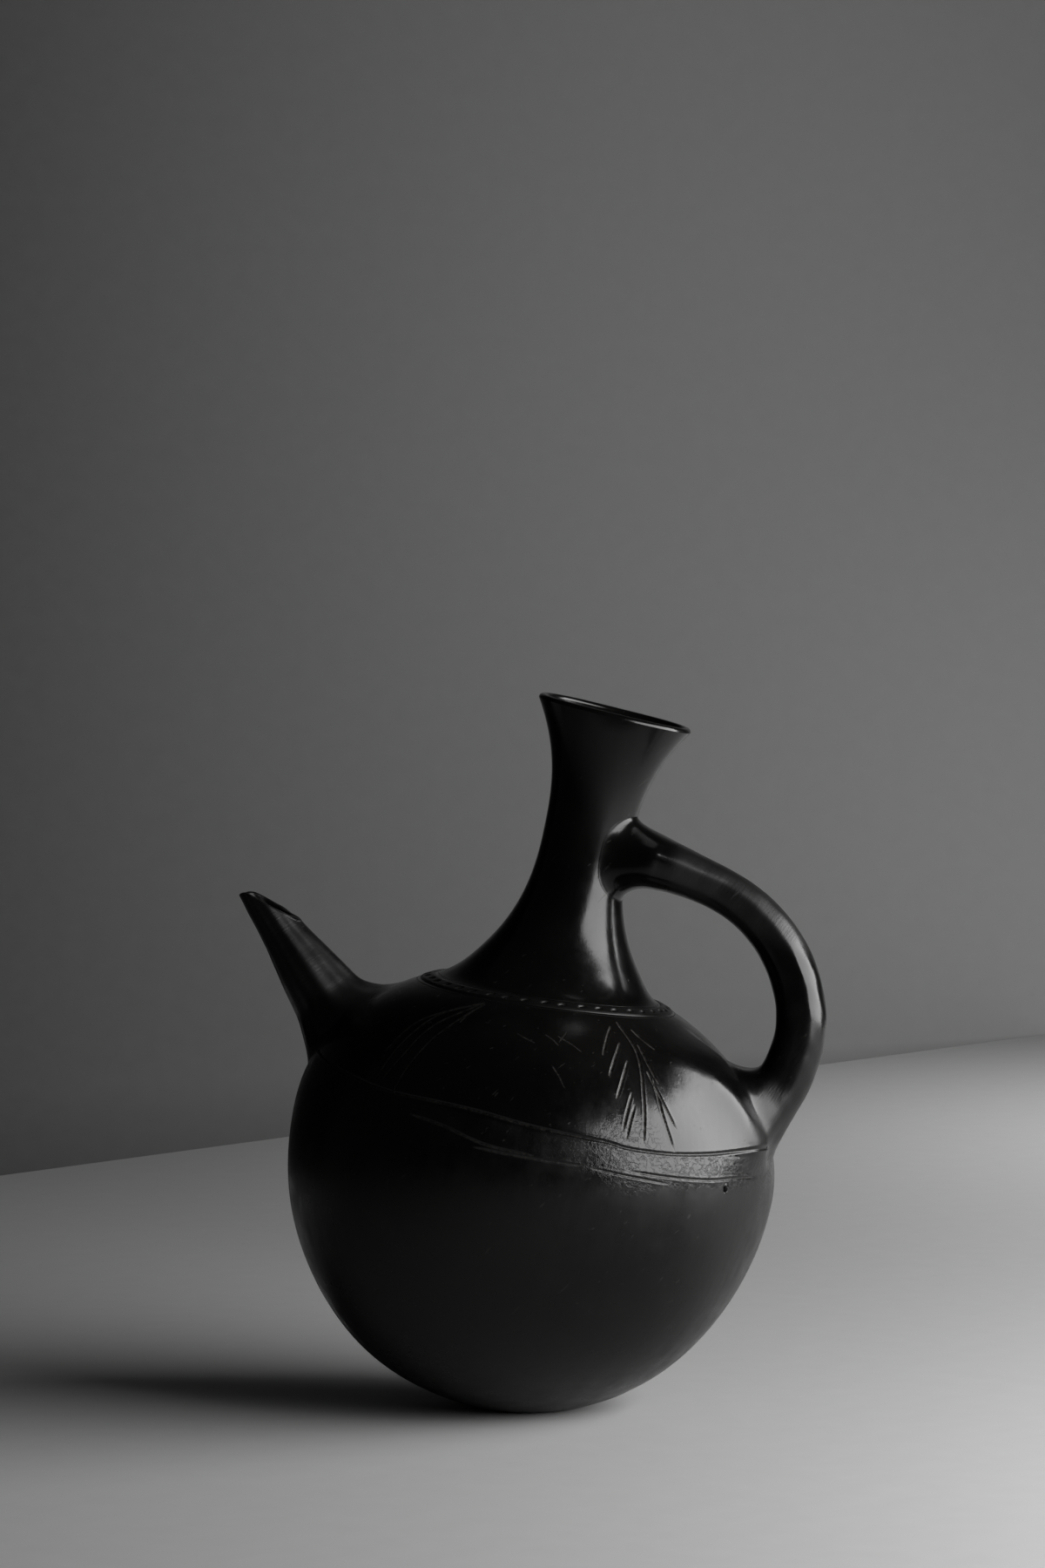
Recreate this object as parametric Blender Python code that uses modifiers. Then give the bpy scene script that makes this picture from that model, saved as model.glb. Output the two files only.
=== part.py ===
"""Round clay coffee pot with a long neck, hand-built from pieces that are luted together.

The pot leans on a small flattened spot of its round base, as it stands on a table. The pieces are
shaped upright about the centre of the ball, and one empty tips them all to the resting pose.
"""
import math

import bmesh
import bpy
import numpy as np

# Driving dimensions, in metres. Levels run up the pot's own axis from the centre of the ball,
# x runs towards the handle, and the origin of the whole is the middle of the resting spot.
GAP = 0.0003
SLANT_GAP = 0.0002
LEAN = math.radians(12.2)
CENTRE_HEIGHT = 0.0724
CENTRE_SHIFT = 0.0006

BELLY_RADIUS = 0.0750
BELLY_LEVEL = 0.0053
LOWER_DEPTH = 0.0793
UPPER_HEIGHT = 0.0575
BODY_WALL = 0.0052
BASE_WALL = 0.0068
SEAM_LEVEL = 0.0125
SEAM_SLANT = 0.0035

NECK_OFFSET = -0.0035
NECK_WALL = 0.0042
NECK_FOOT_LEVEL = 0.0573
NECK_FOOT_RADIUS = 0.0320
NECK_ROOT_LEVEL = 0.0510
NECK_HOLE_RADIUS = 0.0236
WAIST_LEVEL = 0.1050
WAIST_RADIUS = 0.0133
RIM_LEVEL = 0.1425
RIM_RADIUS = 0.0236
NECK_SWEEP = 2.45
LIP_WALL = 0.0026
MOUTH_LEVEL = 0.1175
MOUTH_SLANT = 0.0020
PAD_SEAT_TOP = 0.1300
PAD_SEAT_BOTTOM = 0.0750

COLLAR_RADIUS = 0.0353
COLLAR_SHIFT = -0.0048
COLLAR_LEVEL = 0.0546
COLLAR_TILT = math.radians(-3.2)
COLLAR_HALF_WIDTH = 0.0040
COLLAR_HALF_DEPTH = 0.0020
COLLAR_SLOPE = math.radians(-22.3)

SPOUT_ROOT = (-0.0664, 0.0322)
SPOUT_RISE = math.radians(43.1)
SPOUT_LENGTH = 0.0560
SPOUT_JOINT = 0.0095
SPOUT_FOOT_DEPTH = 0.0080
SPOUT_RADIUS = 0.0129
SPOUT_TAPER = 0.19
SPOUT_FLARE = 0.0034
SPOUT_FLARE_SWEEP = 1.3
SPOUT_BORE = 0.0080
SPOUT_BORE_TAPER = 0.1415
SPOUT_TIP = (-0.1055, 0.0646)
SPOUT_MOUTH_SLOPE = math.radians(14.9)

# The roll of clay that makes the handle, from inside the neck to inside the shoulder:
# x, level and radius of each point of its middle line.
HANDLE_ROLL = (
    (-0.0010, 0.1020, 0.0140),
    (0.0045, 0.1020, 0.0134),
    (0.0100, 0.1019, 0.0124),
    (0.0145, 0.1018, 0.0098),
    (0.0200, 0.1014, 0.0082),
    (0.0285, 0.1002, 0.0072),
    (0.0400, 0.0975, 0.0066),
    (0.0510, 0.0927, 0.0068),
    (0.0610, 0.0850, 0.0072),
    (0.0685, 0.0748, 0.0075),
    (0.0726, 0.0625, 0.0077),
    (0.0720, 0.0500, 0.0080),
    (0.0690, 0.0395, 0.0097),
    (0.0660, 0.0330, 0.0113),
    (0.0632, 0.0270, 0.0117),
    (0.0605, 0.0210, 0.0108),
)
# How much wider than tall the roll is at x: it spreads where it is smeared onto the neck.
HANDLE_OVALS = (
    (0.0000, 0.80),
    (0.0100, 1.00),
    (0.0145, 1.26),
    (0.0200, 1.46),
    (0.0285, 1.36),
    (0.0400, 1.15),
    (0.0510, 1.10),
)
NECK_PAD_END = 0.0200
SHOULDER_PAD_END = 0.0470

# Steps round and along the pieces, and the sizes of the cutters.
BODY_STEPS = 64
NECK_STEPS = 40
NECK_OUTER_STEPS = 12
NECK_INNER_STEPS = 9
MOUTH_OUTER_STEPS = 6
MOUTH_INNER_STEPS = 5
LIP_STEPS = 4
PAD_SEAT_STEPS = 14
COLLAR_STEPS = 56
COLLAR_SIDES = 10
SPOUT_STEPS = 28
SPOUT_RINGS = 8
ROLL_RESOLUTION = 3
ROLL_BEVEL_RESOLUTION = 6
OUTER_ARC_STEP = math.radians(8.0)
INNER_ARC_STEP = math.radians(13.0)
CREASE = math.radians(35.0)
CUTTER_SIZE = 0.2000
HOLE_LENGTH = 0.0600
SLOPE_PROBE = 0.0002
MERGE_DISTANCE = 0.00001

BURNISHED_ROUGHNESS = 0.34
RUBBED_ROUGHNESS = 0.50

BURNISHED_BLACK = (0.020, 0.019, 0.019, 1.0)
RUBBED_BLACK = (0.027, 0.026, 0.025, 1.0)


def clear_scene():
    """Remove every object of the scene."""
    for obj in list(bpy.data.objects):
        bpy.data.objects.remove(obj, do_unlink=True)


def new_collection(name):
    """Add a collection to the scene."""
    collection = bpy.data.collections.new(name)
    bpy.context.scene.collection.children.link(collection)
    return collection


def fired_clay(name, colour, roughness):
    """Smoked and burnished clay: a dark dielectric."""
    material = bpy.data.materials.new(name)
    material.use_nodes = True
    shader = material.node_tree.nodes["Principled BSDF"]
    shader.inputs["Base Color"].default_value = colour
    shader.inputs["Roughness"].default_value = roughness
    shader.inputs["Metallic"].default_value = 0.0
    return material


class Workshop:
    """Holds the tipped frame and the two collections, and makes objects in them."""

    def __init__(self):
        self.parts = new_collection("clay_coffee_pot")
        self.cutters = new_collection("cutters")
        self.frame = bpy.data.objects.new("leaning_frame", None)
        self.frame.location = (CENTRE_SHIFT, 0.0, CENTRE_HEIGHT)
        self.frame.rotation_euler = (0.0, LEAN, 0.0)
        self.parts.objects.link(self.frame)

    def part(self, name, mesh, place=(0.0, 0.0), turn=0.0, burnished=True):
        """Add a piece at a place (x, level) of the pot's own frame, turned about Y."""
        obj = bpy.data.objects.new(name, mesh)
        self.parts.objects.link(obj)
        self.set_place(obj, place, turn)
        if burnished:
            clay = fired_clay(name + "_clay", BURNISHED_BLACK, BURNISHED_ROUGHNESS)
        else:
            clay = fired_clay(name + "_clay", RUBBED_BLACK, RUBBED_ROUGHNESS)
        obj.data.materials.append(clay)
        return obj

    def cutter(self, name, mesh, place=(0.0, 0.0), turn=0.0):
        """Add a cutter at a place (x, level) of the pot's own frame, turned about Y."""
        obj = bpy.data.objects.new(name, mesh)
        self.cutters.objects.link(obj)
        self.set_place(obj, place, turn)
        obj.hide_render = True
        obj.display_type = "WIRE"
        return obj

    def set_place(self, obj, place, turn):
        """Hang an object on the tipped frame."""
        obj.parent = self.frame
        obj.location = (place[0], 0.0, place[1])
        obj.rotation_euler = (0.0, turn, 0.0)


def outline_mesh(name, outline, closed):
    """A chain of edges through (radius, level) points, for turning."""
    mesh = bpy.data.meshes.new(name)
    count = len(outline)
    edges = [(i, i + 1) for i in range(count - 1)]
    if closed:
        edges.append((count - 1, 0))
    mesh.from_pydata([(radius, 0.0, level) for radius, level in outline], edges, [])
    return mesh


def turn_round(obj, steps):
    """Turn the object's outline round its own Z axis."""
    screw = obj.modifiers.new("turned", "SCREW")
    screw.angle = 2.0 * math.pi
    screw.steps = steps
    screw.render_steps = steps
    screw.use_merge_vertices = True
    screw.merge_threshold = MERGE_DISTANCE
    return obj


def cut_away(obj, cutter):
    """Cut a cutter out of an object."""
    cut = obj.modifiers.new("cut_" + cutter.name, "BOOLEAN")
    cut.operation = "DIFFERENCE"
    cut.solver = "EXACT"
    cut.object = cutter
    return obj


def settle(obj):
    """Apply an object's modifiers and shade it smooth between its crisp edges."""
    evaluated = obj.evaluated_get(bpy.context.evaluated_depsgraph_get())
    mesh = bpy.data.meshes.new_from_object(evaluated)
    obj.modifiers.clear()
    obj.data = mesh
    mesh.shade_smooth()
    mesh.set_sharp_from_angle(angle=CREASE)
    return obj


def ball_point(angle, wall, base_wall):
    """Point of the ball's outline at an angle above its widest level, a wall inside it."""
    if angle > 0.0:
        return (
            (BELLY_RADIUS - wall) * math.cos(angle),
            BELLY_LEVEL + (UPPER_HEIGHT - wall) * math.sin(angle),
        )
    return (
        (BELLY_RADIUS - wall) * math.cos(angle),
        BELLY_LEVEL + (LOWER_DEPTH - base_wall) * math.sin(angle),
    )


def ball_angle(level, wall):
    """Angle of the ball's upper outline at a level."""
    return math.asin((level - BELLY_LEVEL) / (UPPER_HEIGHT - wall))


def ball_arc(start, end, wall=0.0, base_wall=None):
    """Points of the ball's outline from one angle to another."""
    base_wall = wall if base_wall is None else base_wall
    step = INNER_ARC_STEP if wall > 0.0 else OUTER_ARC_STEP
    count = max(2, round(abs(end - start) / step))
    angles = [start + (end - start) * i / count for i in range(count + 1)]
    return [ball_point(angle, wall, base_wall) for angle in angles]


def on_axis(points):
    """Set the end points of an outline, which meet the axis, exactly on it."""
    return [(0.0, points[0][1])] + points[1:-1] + [(0.0, points[-1][1])]


def ball_cutter(shop, name, growth):
    """The whole ball as a solid, grown outwards."""
    top, bottom = math.pi / 2.0, -math.pi / 2.0
    outline = on_axis(ball_arc(top, 0.0, -growth) + ball_arc(0.0, bottom, -growth)[1:])
    return turn_round(shop.cutter(name, outline_mesh(name, outline, False)), BODY_STEPS)


def neck_radius(level):
    """Outer radius of the neck and mouth at a level: it sweeps out both ways from the waist."""
    if level < WAIST_LEVEL:
        share = (WAIST_LEVEL - level) / (WAIST_LEVEL - NECK_FOOT_LEVEL)
        return WAIST_RADIUS + (NECK_FOOT_RADIUS - WAIST_RADIUS) * share ** NECK_SWEEP
    share = (level - WAIST_LEVEL) / (RIM_LEVEL - WAIST_LEVEL)
    return WAIST_RADIUS + (RIM_RADIUS - WAIST_RADIUS) * share ** NECK_SWEEP


def neck_point(level, depth):
    """Point a depth inside the neck's surface, square to it, from the surface at a level."""
    rise = neck_radius(level + SLOPE_PROBE) - neck_radius(level - SLOPE_PROBE)
    slope = rise / (2.0 * SLOPE_PROBE)
    length = math.hypot(1.0, slope)
    return (neck_radius(level) - depth / length, level + depth * slope / length)


def spread(start, end, count):
    """Evenly spaced values from start to end."""
    return [start + (end - start) * i / count for i in range(count + 1)]


def build_body(shop, table, spout_bore):
    """The bowl and the shoulder: two thick shells that meet in a slanted seam under the band."""
    outer_seam = ball_angle(SEAM_LEVEL, 0.0)
    inner_seam = ball_angle(SEAM_LEVEL + SEAM_SLANT, BODY_WALL)
    sink = SLANT_GAP / UPPER_HEIGHT
    top, bottom = math.pi / 2.0, -math.pi / 2.0

    inside = ball_arc(bottom, 0.0, BODY_WALL, BASE_WALL)
    inside += ball_arc(0.0, inner_seam - sink, BODY_WALL)[1:]
    outside = ball_arc(outer_seam - sink, 0.0) + ball_arc(0.0, bottom)[1:]
    bowl = shop.part("body_bowl", outline_mesh("body_bowl", on_axis(inside + outside), False))
    cut_away(turn_round(bowl, BODY_STEPS), table)

    outside = ball_arc(top, outer_seam + sink)
    inside = ball_arc(inner_seam + sink, top, BODY_WALL)
    dome = shop.part("body_shoulder", outline_mesh("body_shoulder", on_axis(outside + inside), False))
    turn_round(dome, BODY_STEPS)
    neck_hole = shop.cutter("neck_hole", cylinder_mesh("neck_hole", NECK_HOLE_RADIUS, NECK_STEPS))
    neck_hole.location = (NECK_OFFSET, 0.0, NECK_FOOT_LEVEL)
    cut_away(dome, neck_hole)
    cut_away(dome, spout_bore)
    return bowl, dome


def cylinder_mesh(name, radius, steps):
    """A closed cylinder about Z, long enough to pass through the wall."""
    mesh = bpy.data.meshes.new(name)
    work = bmesh.new()
    bmesh.ops.create_cone(
        work, cap_ends=True, segments=steps, radius1=radius, radius2=radius, depth=HOLE_LENGTH
    )
    work.to_mesh(mesh)
    work.free()
    return mesh


def cube_mesh(name):
    """A cube that is large enough to cut any piece."""
    mesh = bpy.data.meshes.new(name)
    work = bmesh.new()
    bmesh.ops.create_cube(work, size=CUTTER_SIZE)
    work.to_mesh(mesh)
    work.free()
    return mesh


def collar_mesh(name, growth):
    """A closed oval outline on the coil's radius, lying along the slope of the shoulder."""
    outline = []
    for i in range(COLLAR_SIDES):
        angle = -2.0 * math.pi * i / COLLAR_SIDES
        along = (COLLAR_HALF_WIDTH + growth) * math.cos(angle)
        proud = (COLLAR_HALF_DEPTH + growth) * math.sin(angle)
        outline.append((
            COLLAR_RADIUS + along * math.cos(COLLAR_SLOPE) - proud * math.sin(COLLAR_SLOPE),
            along * math.sin(COLLAR_SLOPE) + proud * math.cos(COLLAR_SLOPE),
        ))
    return outline_mesh(name, outline, True)


def build_neck(shop, ball, dome):
    """The neck on the shoulder, the flared mouth on the neck, and the coil pressed round its foot."""
    axis = (NECK_OFFSET, 0.0)
    levels = spread(MOUTH_LEVEL - SLANT_GAP, NECK_ROOT_LEVEL, NECK_OUTER_STEPS)
    outer = [neck_point(level, 0.0) for level in levels]
    levels = spread(NECK_ROOT_LEVEL, MOUTH_LEVEL + MOUTH_SLANT - SLANT_GAP, NECK_INNER_STEPS)
    inner = [neck_point(level, NECK_WALL) for level in levels]
    neck = shop.part("neck", outline_mesh("neck", outer + inner, True), axis)
    cut_away(turn_round(neck, NECK_STEPS), ball)

    lip_radius = LIP_WALL / 2.0
    lip = []
    for angle in spread(math.pi, 0.0, LIP_STEPS):
        lip.append((
            RIM_RADIUS - lip_radius + lip_radius * math.cos(angle),
            RIM_LEVEL + lip_radius * math.sin(angle),
        ))
    levels = spread(RIM_LEVEL, MOUTH_LEVEL + SLANT_GAP, MOUTH_OUTER_STEPS)[1:]
    outer = [neck_point(level, 0.0) for level in levels]
    bottom_inside = MOUTH_LEVEL + MOUTH_SLANT + SLANT_GAP
    inner = []
    for level in spread(bottom_inside, RIM_LEVEL, MOUTH_INNER_STEPS)[:-1]:
        share = (level - bottom_inside) / (RIM_LEVEL - bottom_inside)
        inner.append(neck_point(level, NECK_WALL + (LIP_WALL - NECK_WALL) * share))
    mouth = shop.part("mouth_flare", outline_mesh("mouth_flare", lip + outer + inner, True), axis)
    turn_round(mouth, NECK_STEPS)

    place = (COLLAR_SHIFT, COLLAR_LEVEL)
    collar = shop.part(
        "neck_collar", collar_mesh("neck_collar", 0.0), place, COLLAR_TILT, burnished=False
    )
    turn_round(collar, COLLAR_STEPS)
    groove = shop.cutter("collar_groove", collar_mesh("collar_groove", GAP), place, COLLAR_TILT)
    turn_round(groove, COLLAR_STEPS)
    cut_away(neck, groove)
    cut_away(dome, groove)
    return neck, mouth, collar


def neck_cutter(shop):
    """The neck as a solid, grown outwards."""
    levels = spread(PAD_SEAT_TOP, PAD_SEAT_BOTTOM, PAD_SEAT_STEPS)
    side = [neck_point(level, -GAP) for level in levels]
    outline = [(0.0, side[0][1])] + side + [(0.0, side[-1][1])]
    mesh = outline_mesh("neck_solid", outline, False)
    return turn_round(shop.cutter("neck_solid", mesh, (NECK_OFFSET, 0.0)), NECK_STEPS)


def spout_radius(reach):
    """Outer radius of the spout at a reach along its axis from the ball's surface."""
    return SPOUT_RADIUS - SPOUT_TAPER * reach


def spout_bore_radius(reach):
    """Radius of the way through the spout: straight in the foot, then tapering."""
    return SPOUT_BORE - SPOUT_BORE_TAPER * max(0.0, reach - SPOUT_JOINT)


def build_spout(shop, ball):
    """The flared foot on the shoulder and the tapering tube on it, cut slantwise at its tip."""
    turn = SPOUT_RISE - math.pi / 2.0
    deepest = -SPOUT_FOOT_DEPTH
    half_gap = GAP / 2.0

    outer = []
    for reach in spread(SPOUT_JOINT - half_gap, deepest, SPOUT_RINGS):
        share = (SPOUT_JOINT - reach) / (SPOUT_JOINT - deepest)
        outer.append((spout_radius(reach) + SPOUT_FLARE * share ** SPOUT_FLARE_SWEEP, reach))
    bore = [(SPOUT_BORE, deepest), (SPOUT_BORE, SPOUT_JOINT - half_gap)]
    foot = shop.part("spout_foot", outline_mesh("spout_foot", outer + bore, True), SPOUT_ROOT, turn)
    cut_away(turn_round(foot, SPOUT_STEPS), ball)

    ends = (SPOUT_LENGTH, SPOUT_JOINT + half_gap)
    outer = [(spout_radius(reach), reach) for reach in spread(*ends, SPOUT_RINGS)]
    bore = [(spout_bore_radius(reach), reach) for reach in spread(*reversed(ends), SPOUT_RINGS)]
    spout = shop.part("spout", outline_mesh("spout", outer + bore, True), SPOUT_ROOT, turn)
    turn_round(spout, SPOUT_STEPS)
    rise = CUTTER_SIZE / 2.0
    above_tip = (
        SPOUT_TIP[0] + rise * math.sin(SPOUT_MOUTH_SLOPE),
        SPOUT_TIP[1] + rise * math.cos(SPOUT_MOUTH_SLOPE),
    )
    tip_cut = shop.cutter(
        "spout_tip_cut", cube_mesh("spout_tip_cut"), above_tip, SPOUT_MOUTH_SLOPE
    )
    cut_away(spout, tip_cut)
    return foot, spout


def handle_roll_mesh():
    """The whole roll as one closed tube, thicker across than along where it is free."""
    curve = bpy.data.curves.new("handle_roll", "CURVE")
    curve.dimensions = "3D"
    curve.bevel_depth = 1.0
    curve.bevel_resolution = ROLL_BEVEL_RESOLUTION
    curve.resolution_u = ROLL_RESOLUTION
    curve.use_fill_caps = True
    spline = curve.splines.new("BEZIER")
    spline.radius_interpolation = "CARDINAL"
    spline.bezier_points.add(len(HANDLE_ROLL) - 1)
    for point, (x, level, radius) in zip(spline.bezier_points, HANDLE_ROLL):
        point.co = (x, 0.0, level)
        point.radius = radius
        point.handle_left_type = "AUTO"
        point.handle_right_type = "AUTO"
    guide = bpy.data.objects.new("handle_roll", curve)
    bpy.context.scene.collection.objects.link(guide)
    evaluated = guide.evaluated_get(bpy.context.evaluated_depsgraph_get())
    mesh = bpy.data.meshes.new_from_object(evaluated)
    bpy.data.objects.remove(guide, do_unlink=True)
    work = bmesh.new()
    work.from_mesh(mesh)
    bmesh.ops.remove_doubles(work, verts=work.verts, dist=MERGE_DISTANCE)
    places, ovals = zip(*HANDLE_OVALS)
    for vert in work.verts:
        vert.co.y *= np.interp(vert.co.x, places, ovals)
    work.to_mesh(mesh)
    work.free()
    return mesh


def sliced(mesh, name, slices):
    """A copy of a closed mesh, cut by planes (point, normal); what lies on a normal's side goes."""
    work = bmesh.new()
    work.from_mesh(mesh)
    for point, normal in slices:
        everything = work.verts[:] + work.edges[:] + work.faces[:]
        bmesh.ops.bisect_plane(
            work, geom=everything, plane_co=point, plane_no=normal, clear_outer=True
        )
        open_edges = [edge for edge in work.edges if edge.is_boundary]
        bmesh.ops.holes_fill(work, edges=open_edges, sides=0)
    bmesh.ops.recalc_face_normals(work, faces=work.faces)
    copy = bpy.data.meshes.new(name)
    work.to_mesh(copy)
    work.free()
    return copy


def build_handle(shop, ball):
    """The arched handle and the two wads of clay that seat it on the neck and the shoulder."""
    roll = handle_roll_mesh()
    half_gap = GAP / 2.0
    neck_end = (NECK_PAD_END - half_gap, 0.0, 0.0)
    free_start = (NECK_PAD_END + half_gap, 0.0, 0.0)
    free_end = (0.0, 0.0, SHOULDER_PAD_END + half_gap)
    shoulder_end = (0.0, 0.0, SHOULDER_PAD_END - half_gap)
    out, back = (1.0, 0.0, 0.0), (-1.0, 0.0, 0.0)
    up, down = (0.0, 0.0, 1.0), (0.0, 0.0, -1.0)

    wad = sliced(roll, "handle_neck_pad", [(neck_end, out)])
    neck_pad = shop.part("handle_neck_pad", wad)
    cut_away(neck_pad, neck_cutter(shop))
    handle = shop.part("handle", sliced(roll, "handle", [(free_start, back), (free_end, down)]))
    wad = sliced(roll, "handle_shoulder_pad", [(shoulder_end, up)])
    shoulder_pad = shop.part("handle_shoulder_pad", wad)
    cut_away(shoulder_pad, ball)
    bpy.data.meshes.remove(roll)
    return neck_pad, handle, shoulder_pad


def main():
    """Build the pot."""
    clear_scene()
    shop = Workshop()
    table = shop.cutter("table_top", cube_mesh("table_top"))
    table.parent = None
    table.location = (0.0, 0.0, -CUTTER_SIZE / 2.0)
    ball = ball_cutter(shop, "ball_solid", GAP)
    hole = cylinder_mesh("spout_hole", SPOUT_BORE, SPOUT_STEPS)
    spout_bore = shop.cutter("spout_hole", hole, SPOUT_ROOT, SPOUT_RISE - math.pi / 2.0)
    bowl, dome = build_body(shop, table, spout_bore)
    neck_pieces = build_neck(shop, ball, dome)
    spout_pieces = build_spout(shop, ball)
    handle_pieces = build_handle(shop, ball)
    for piece in (bowl, dome, *neck_pieces, *spout_pieces, *handle_pieces):
        settle(piece)


main()
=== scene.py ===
"""Visual model of a round, burnished black clay coffee pot, built over its CAD frame.

Every piece is shaped upright in the pot's own frame (levels run up the axis from the centre of the
ball, x runs towards the handle), and is then tipped into the leaning pose in which the pot stands.
"""

import logging
import math
from collections.abc import Callable
from dataclasses import dataclass
from enum import Enum
from typing import TypeAlias

import bpy
import numpy as np
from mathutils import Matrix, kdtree


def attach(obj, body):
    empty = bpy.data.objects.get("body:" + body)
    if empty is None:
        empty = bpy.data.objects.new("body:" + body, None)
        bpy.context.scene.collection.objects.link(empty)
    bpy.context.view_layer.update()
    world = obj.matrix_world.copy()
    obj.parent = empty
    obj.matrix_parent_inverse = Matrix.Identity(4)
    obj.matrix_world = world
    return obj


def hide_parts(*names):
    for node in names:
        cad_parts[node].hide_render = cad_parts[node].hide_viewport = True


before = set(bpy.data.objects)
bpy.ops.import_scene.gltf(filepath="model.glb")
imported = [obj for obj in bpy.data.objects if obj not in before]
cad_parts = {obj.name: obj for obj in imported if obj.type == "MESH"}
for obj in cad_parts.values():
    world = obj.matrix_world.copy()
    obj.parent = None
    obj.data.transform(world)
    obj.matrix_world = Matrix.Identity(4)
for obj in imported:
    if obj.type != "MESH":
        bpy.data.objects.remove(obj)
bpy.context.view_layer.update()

LOG = logging.getLogger("clay_pot")
MERGE_DISTANCE = 1.0e-6
SMOOTH_ANGLE = math.radians(40.0)
MM = 0.001

Source: TypeAlias = "Term | bpy.types.NodeSocket | float | tuple"


class Slot(Enum):
    """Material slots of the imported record."""

    BURNISHED = "burnished_clay"
    NOTCHED = "notched_clay"


@dataclass(frozen=True)
class RestPose:
    """How the upright pot is tipped to stand on the flattened spot of its base."""

    lean: float = math.radians(12.2)
    shift: float = 0.6 * MM
    height: float = 72.4 * MM
    flat_blend: float = 0.25 * MM

    def tip(self, points: np.ndarray) -> np.ndarray:
        """Tip points of the upright pot into the leaning pose.

        Args:
            points: Places in the pot's own frame, as (count, 3).

        Returns:
            The places in the row frame, pressed flat where the pot meets the table.
        """
        cos, sin = math.cos(self.lean), math.sin(self.lean)
        x = self.shift + points[:, 0] * cos + points[:, 2] * sin
        z = self.height - points[:, 0] * sin + points[:, 2] * cos
        z = 0.5 * (z + np.sqrt(z * z + self.flat_blend**2)) - 0.5 * self.flat_blend
        return np.stack([x, points[:, 1], np.maximum(z, 0.0)], axis=1)


@dataclass(frozen=True)
class HandWobble:
    """The slow unevenness that a pot built by hand has, as one bending of space."""

    amount: float = 0.28 * MM
    waves: tuple[tuple[float, float, float, float], ...] = (
        (61.0, 38.0, 52.0, 0.4),
        (-43.0, 71.0, 35.0, 1.9),
        (82.0, -30.0, -64.0, 3.1),
        (29.0, 94.0, 57.0, 5.0),
    )
    lump: float = 0.045 * MM
    lump_waves: tuple[tuple[float, float, float, float], ...] = (
        (640.0, 210.0, -330.0, 0.3),
        (-420.0, 380.0, 560.0, 1.1),
        (510.0, -470.0, 690.0, 2.6),
        (-760.0, -260.0, 340.0, 4.2),
        (350.0, 620.0, 830.0, 5.5),
    )
    body_size: tuple[float, float, float] = (75.0 * MM, 75.0 * MM, 62.8 * MM)
    lumps_off_body: tuple[float, float] = (1.02, 1.14)
    lumps_off_neck: tuple[float, float] = (22.0 * MM, 34.0 * MM)

    def bend(self, points: np.ndarray) -> np.ndarray:
        """Shift points by the unevenness.

        Args:
            points: Places in the pot's own frame, as (count, 3).

        Returns:
            The shifted places.
        """
        moved = points.copy()
        for index, (kx, ky, kz, phase) in enumerate(self.waves):
            wave = np.sin(points @ np.array([kx, ky, kz]) + phase)
            moved[:, index % 3] += self.amount * wave
        off_body = np.linalg.norm(points / self.body_size, axis=1)
        free = smooth_step(off_body, *self.lumps_off_body)
        free *= smooth_step(np.abs(points[:, 0]), *self.lumps_off_neck)
        for kx, ky, kz, phase in self.lump_waves:
            wave = np.sin(points @ np.array([kx, ky, kz]) + phase)
            moved += (self.lump * free * wave)[:, None] * unit(np.array([kx, -ky, kz]))
        return moved


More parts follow.
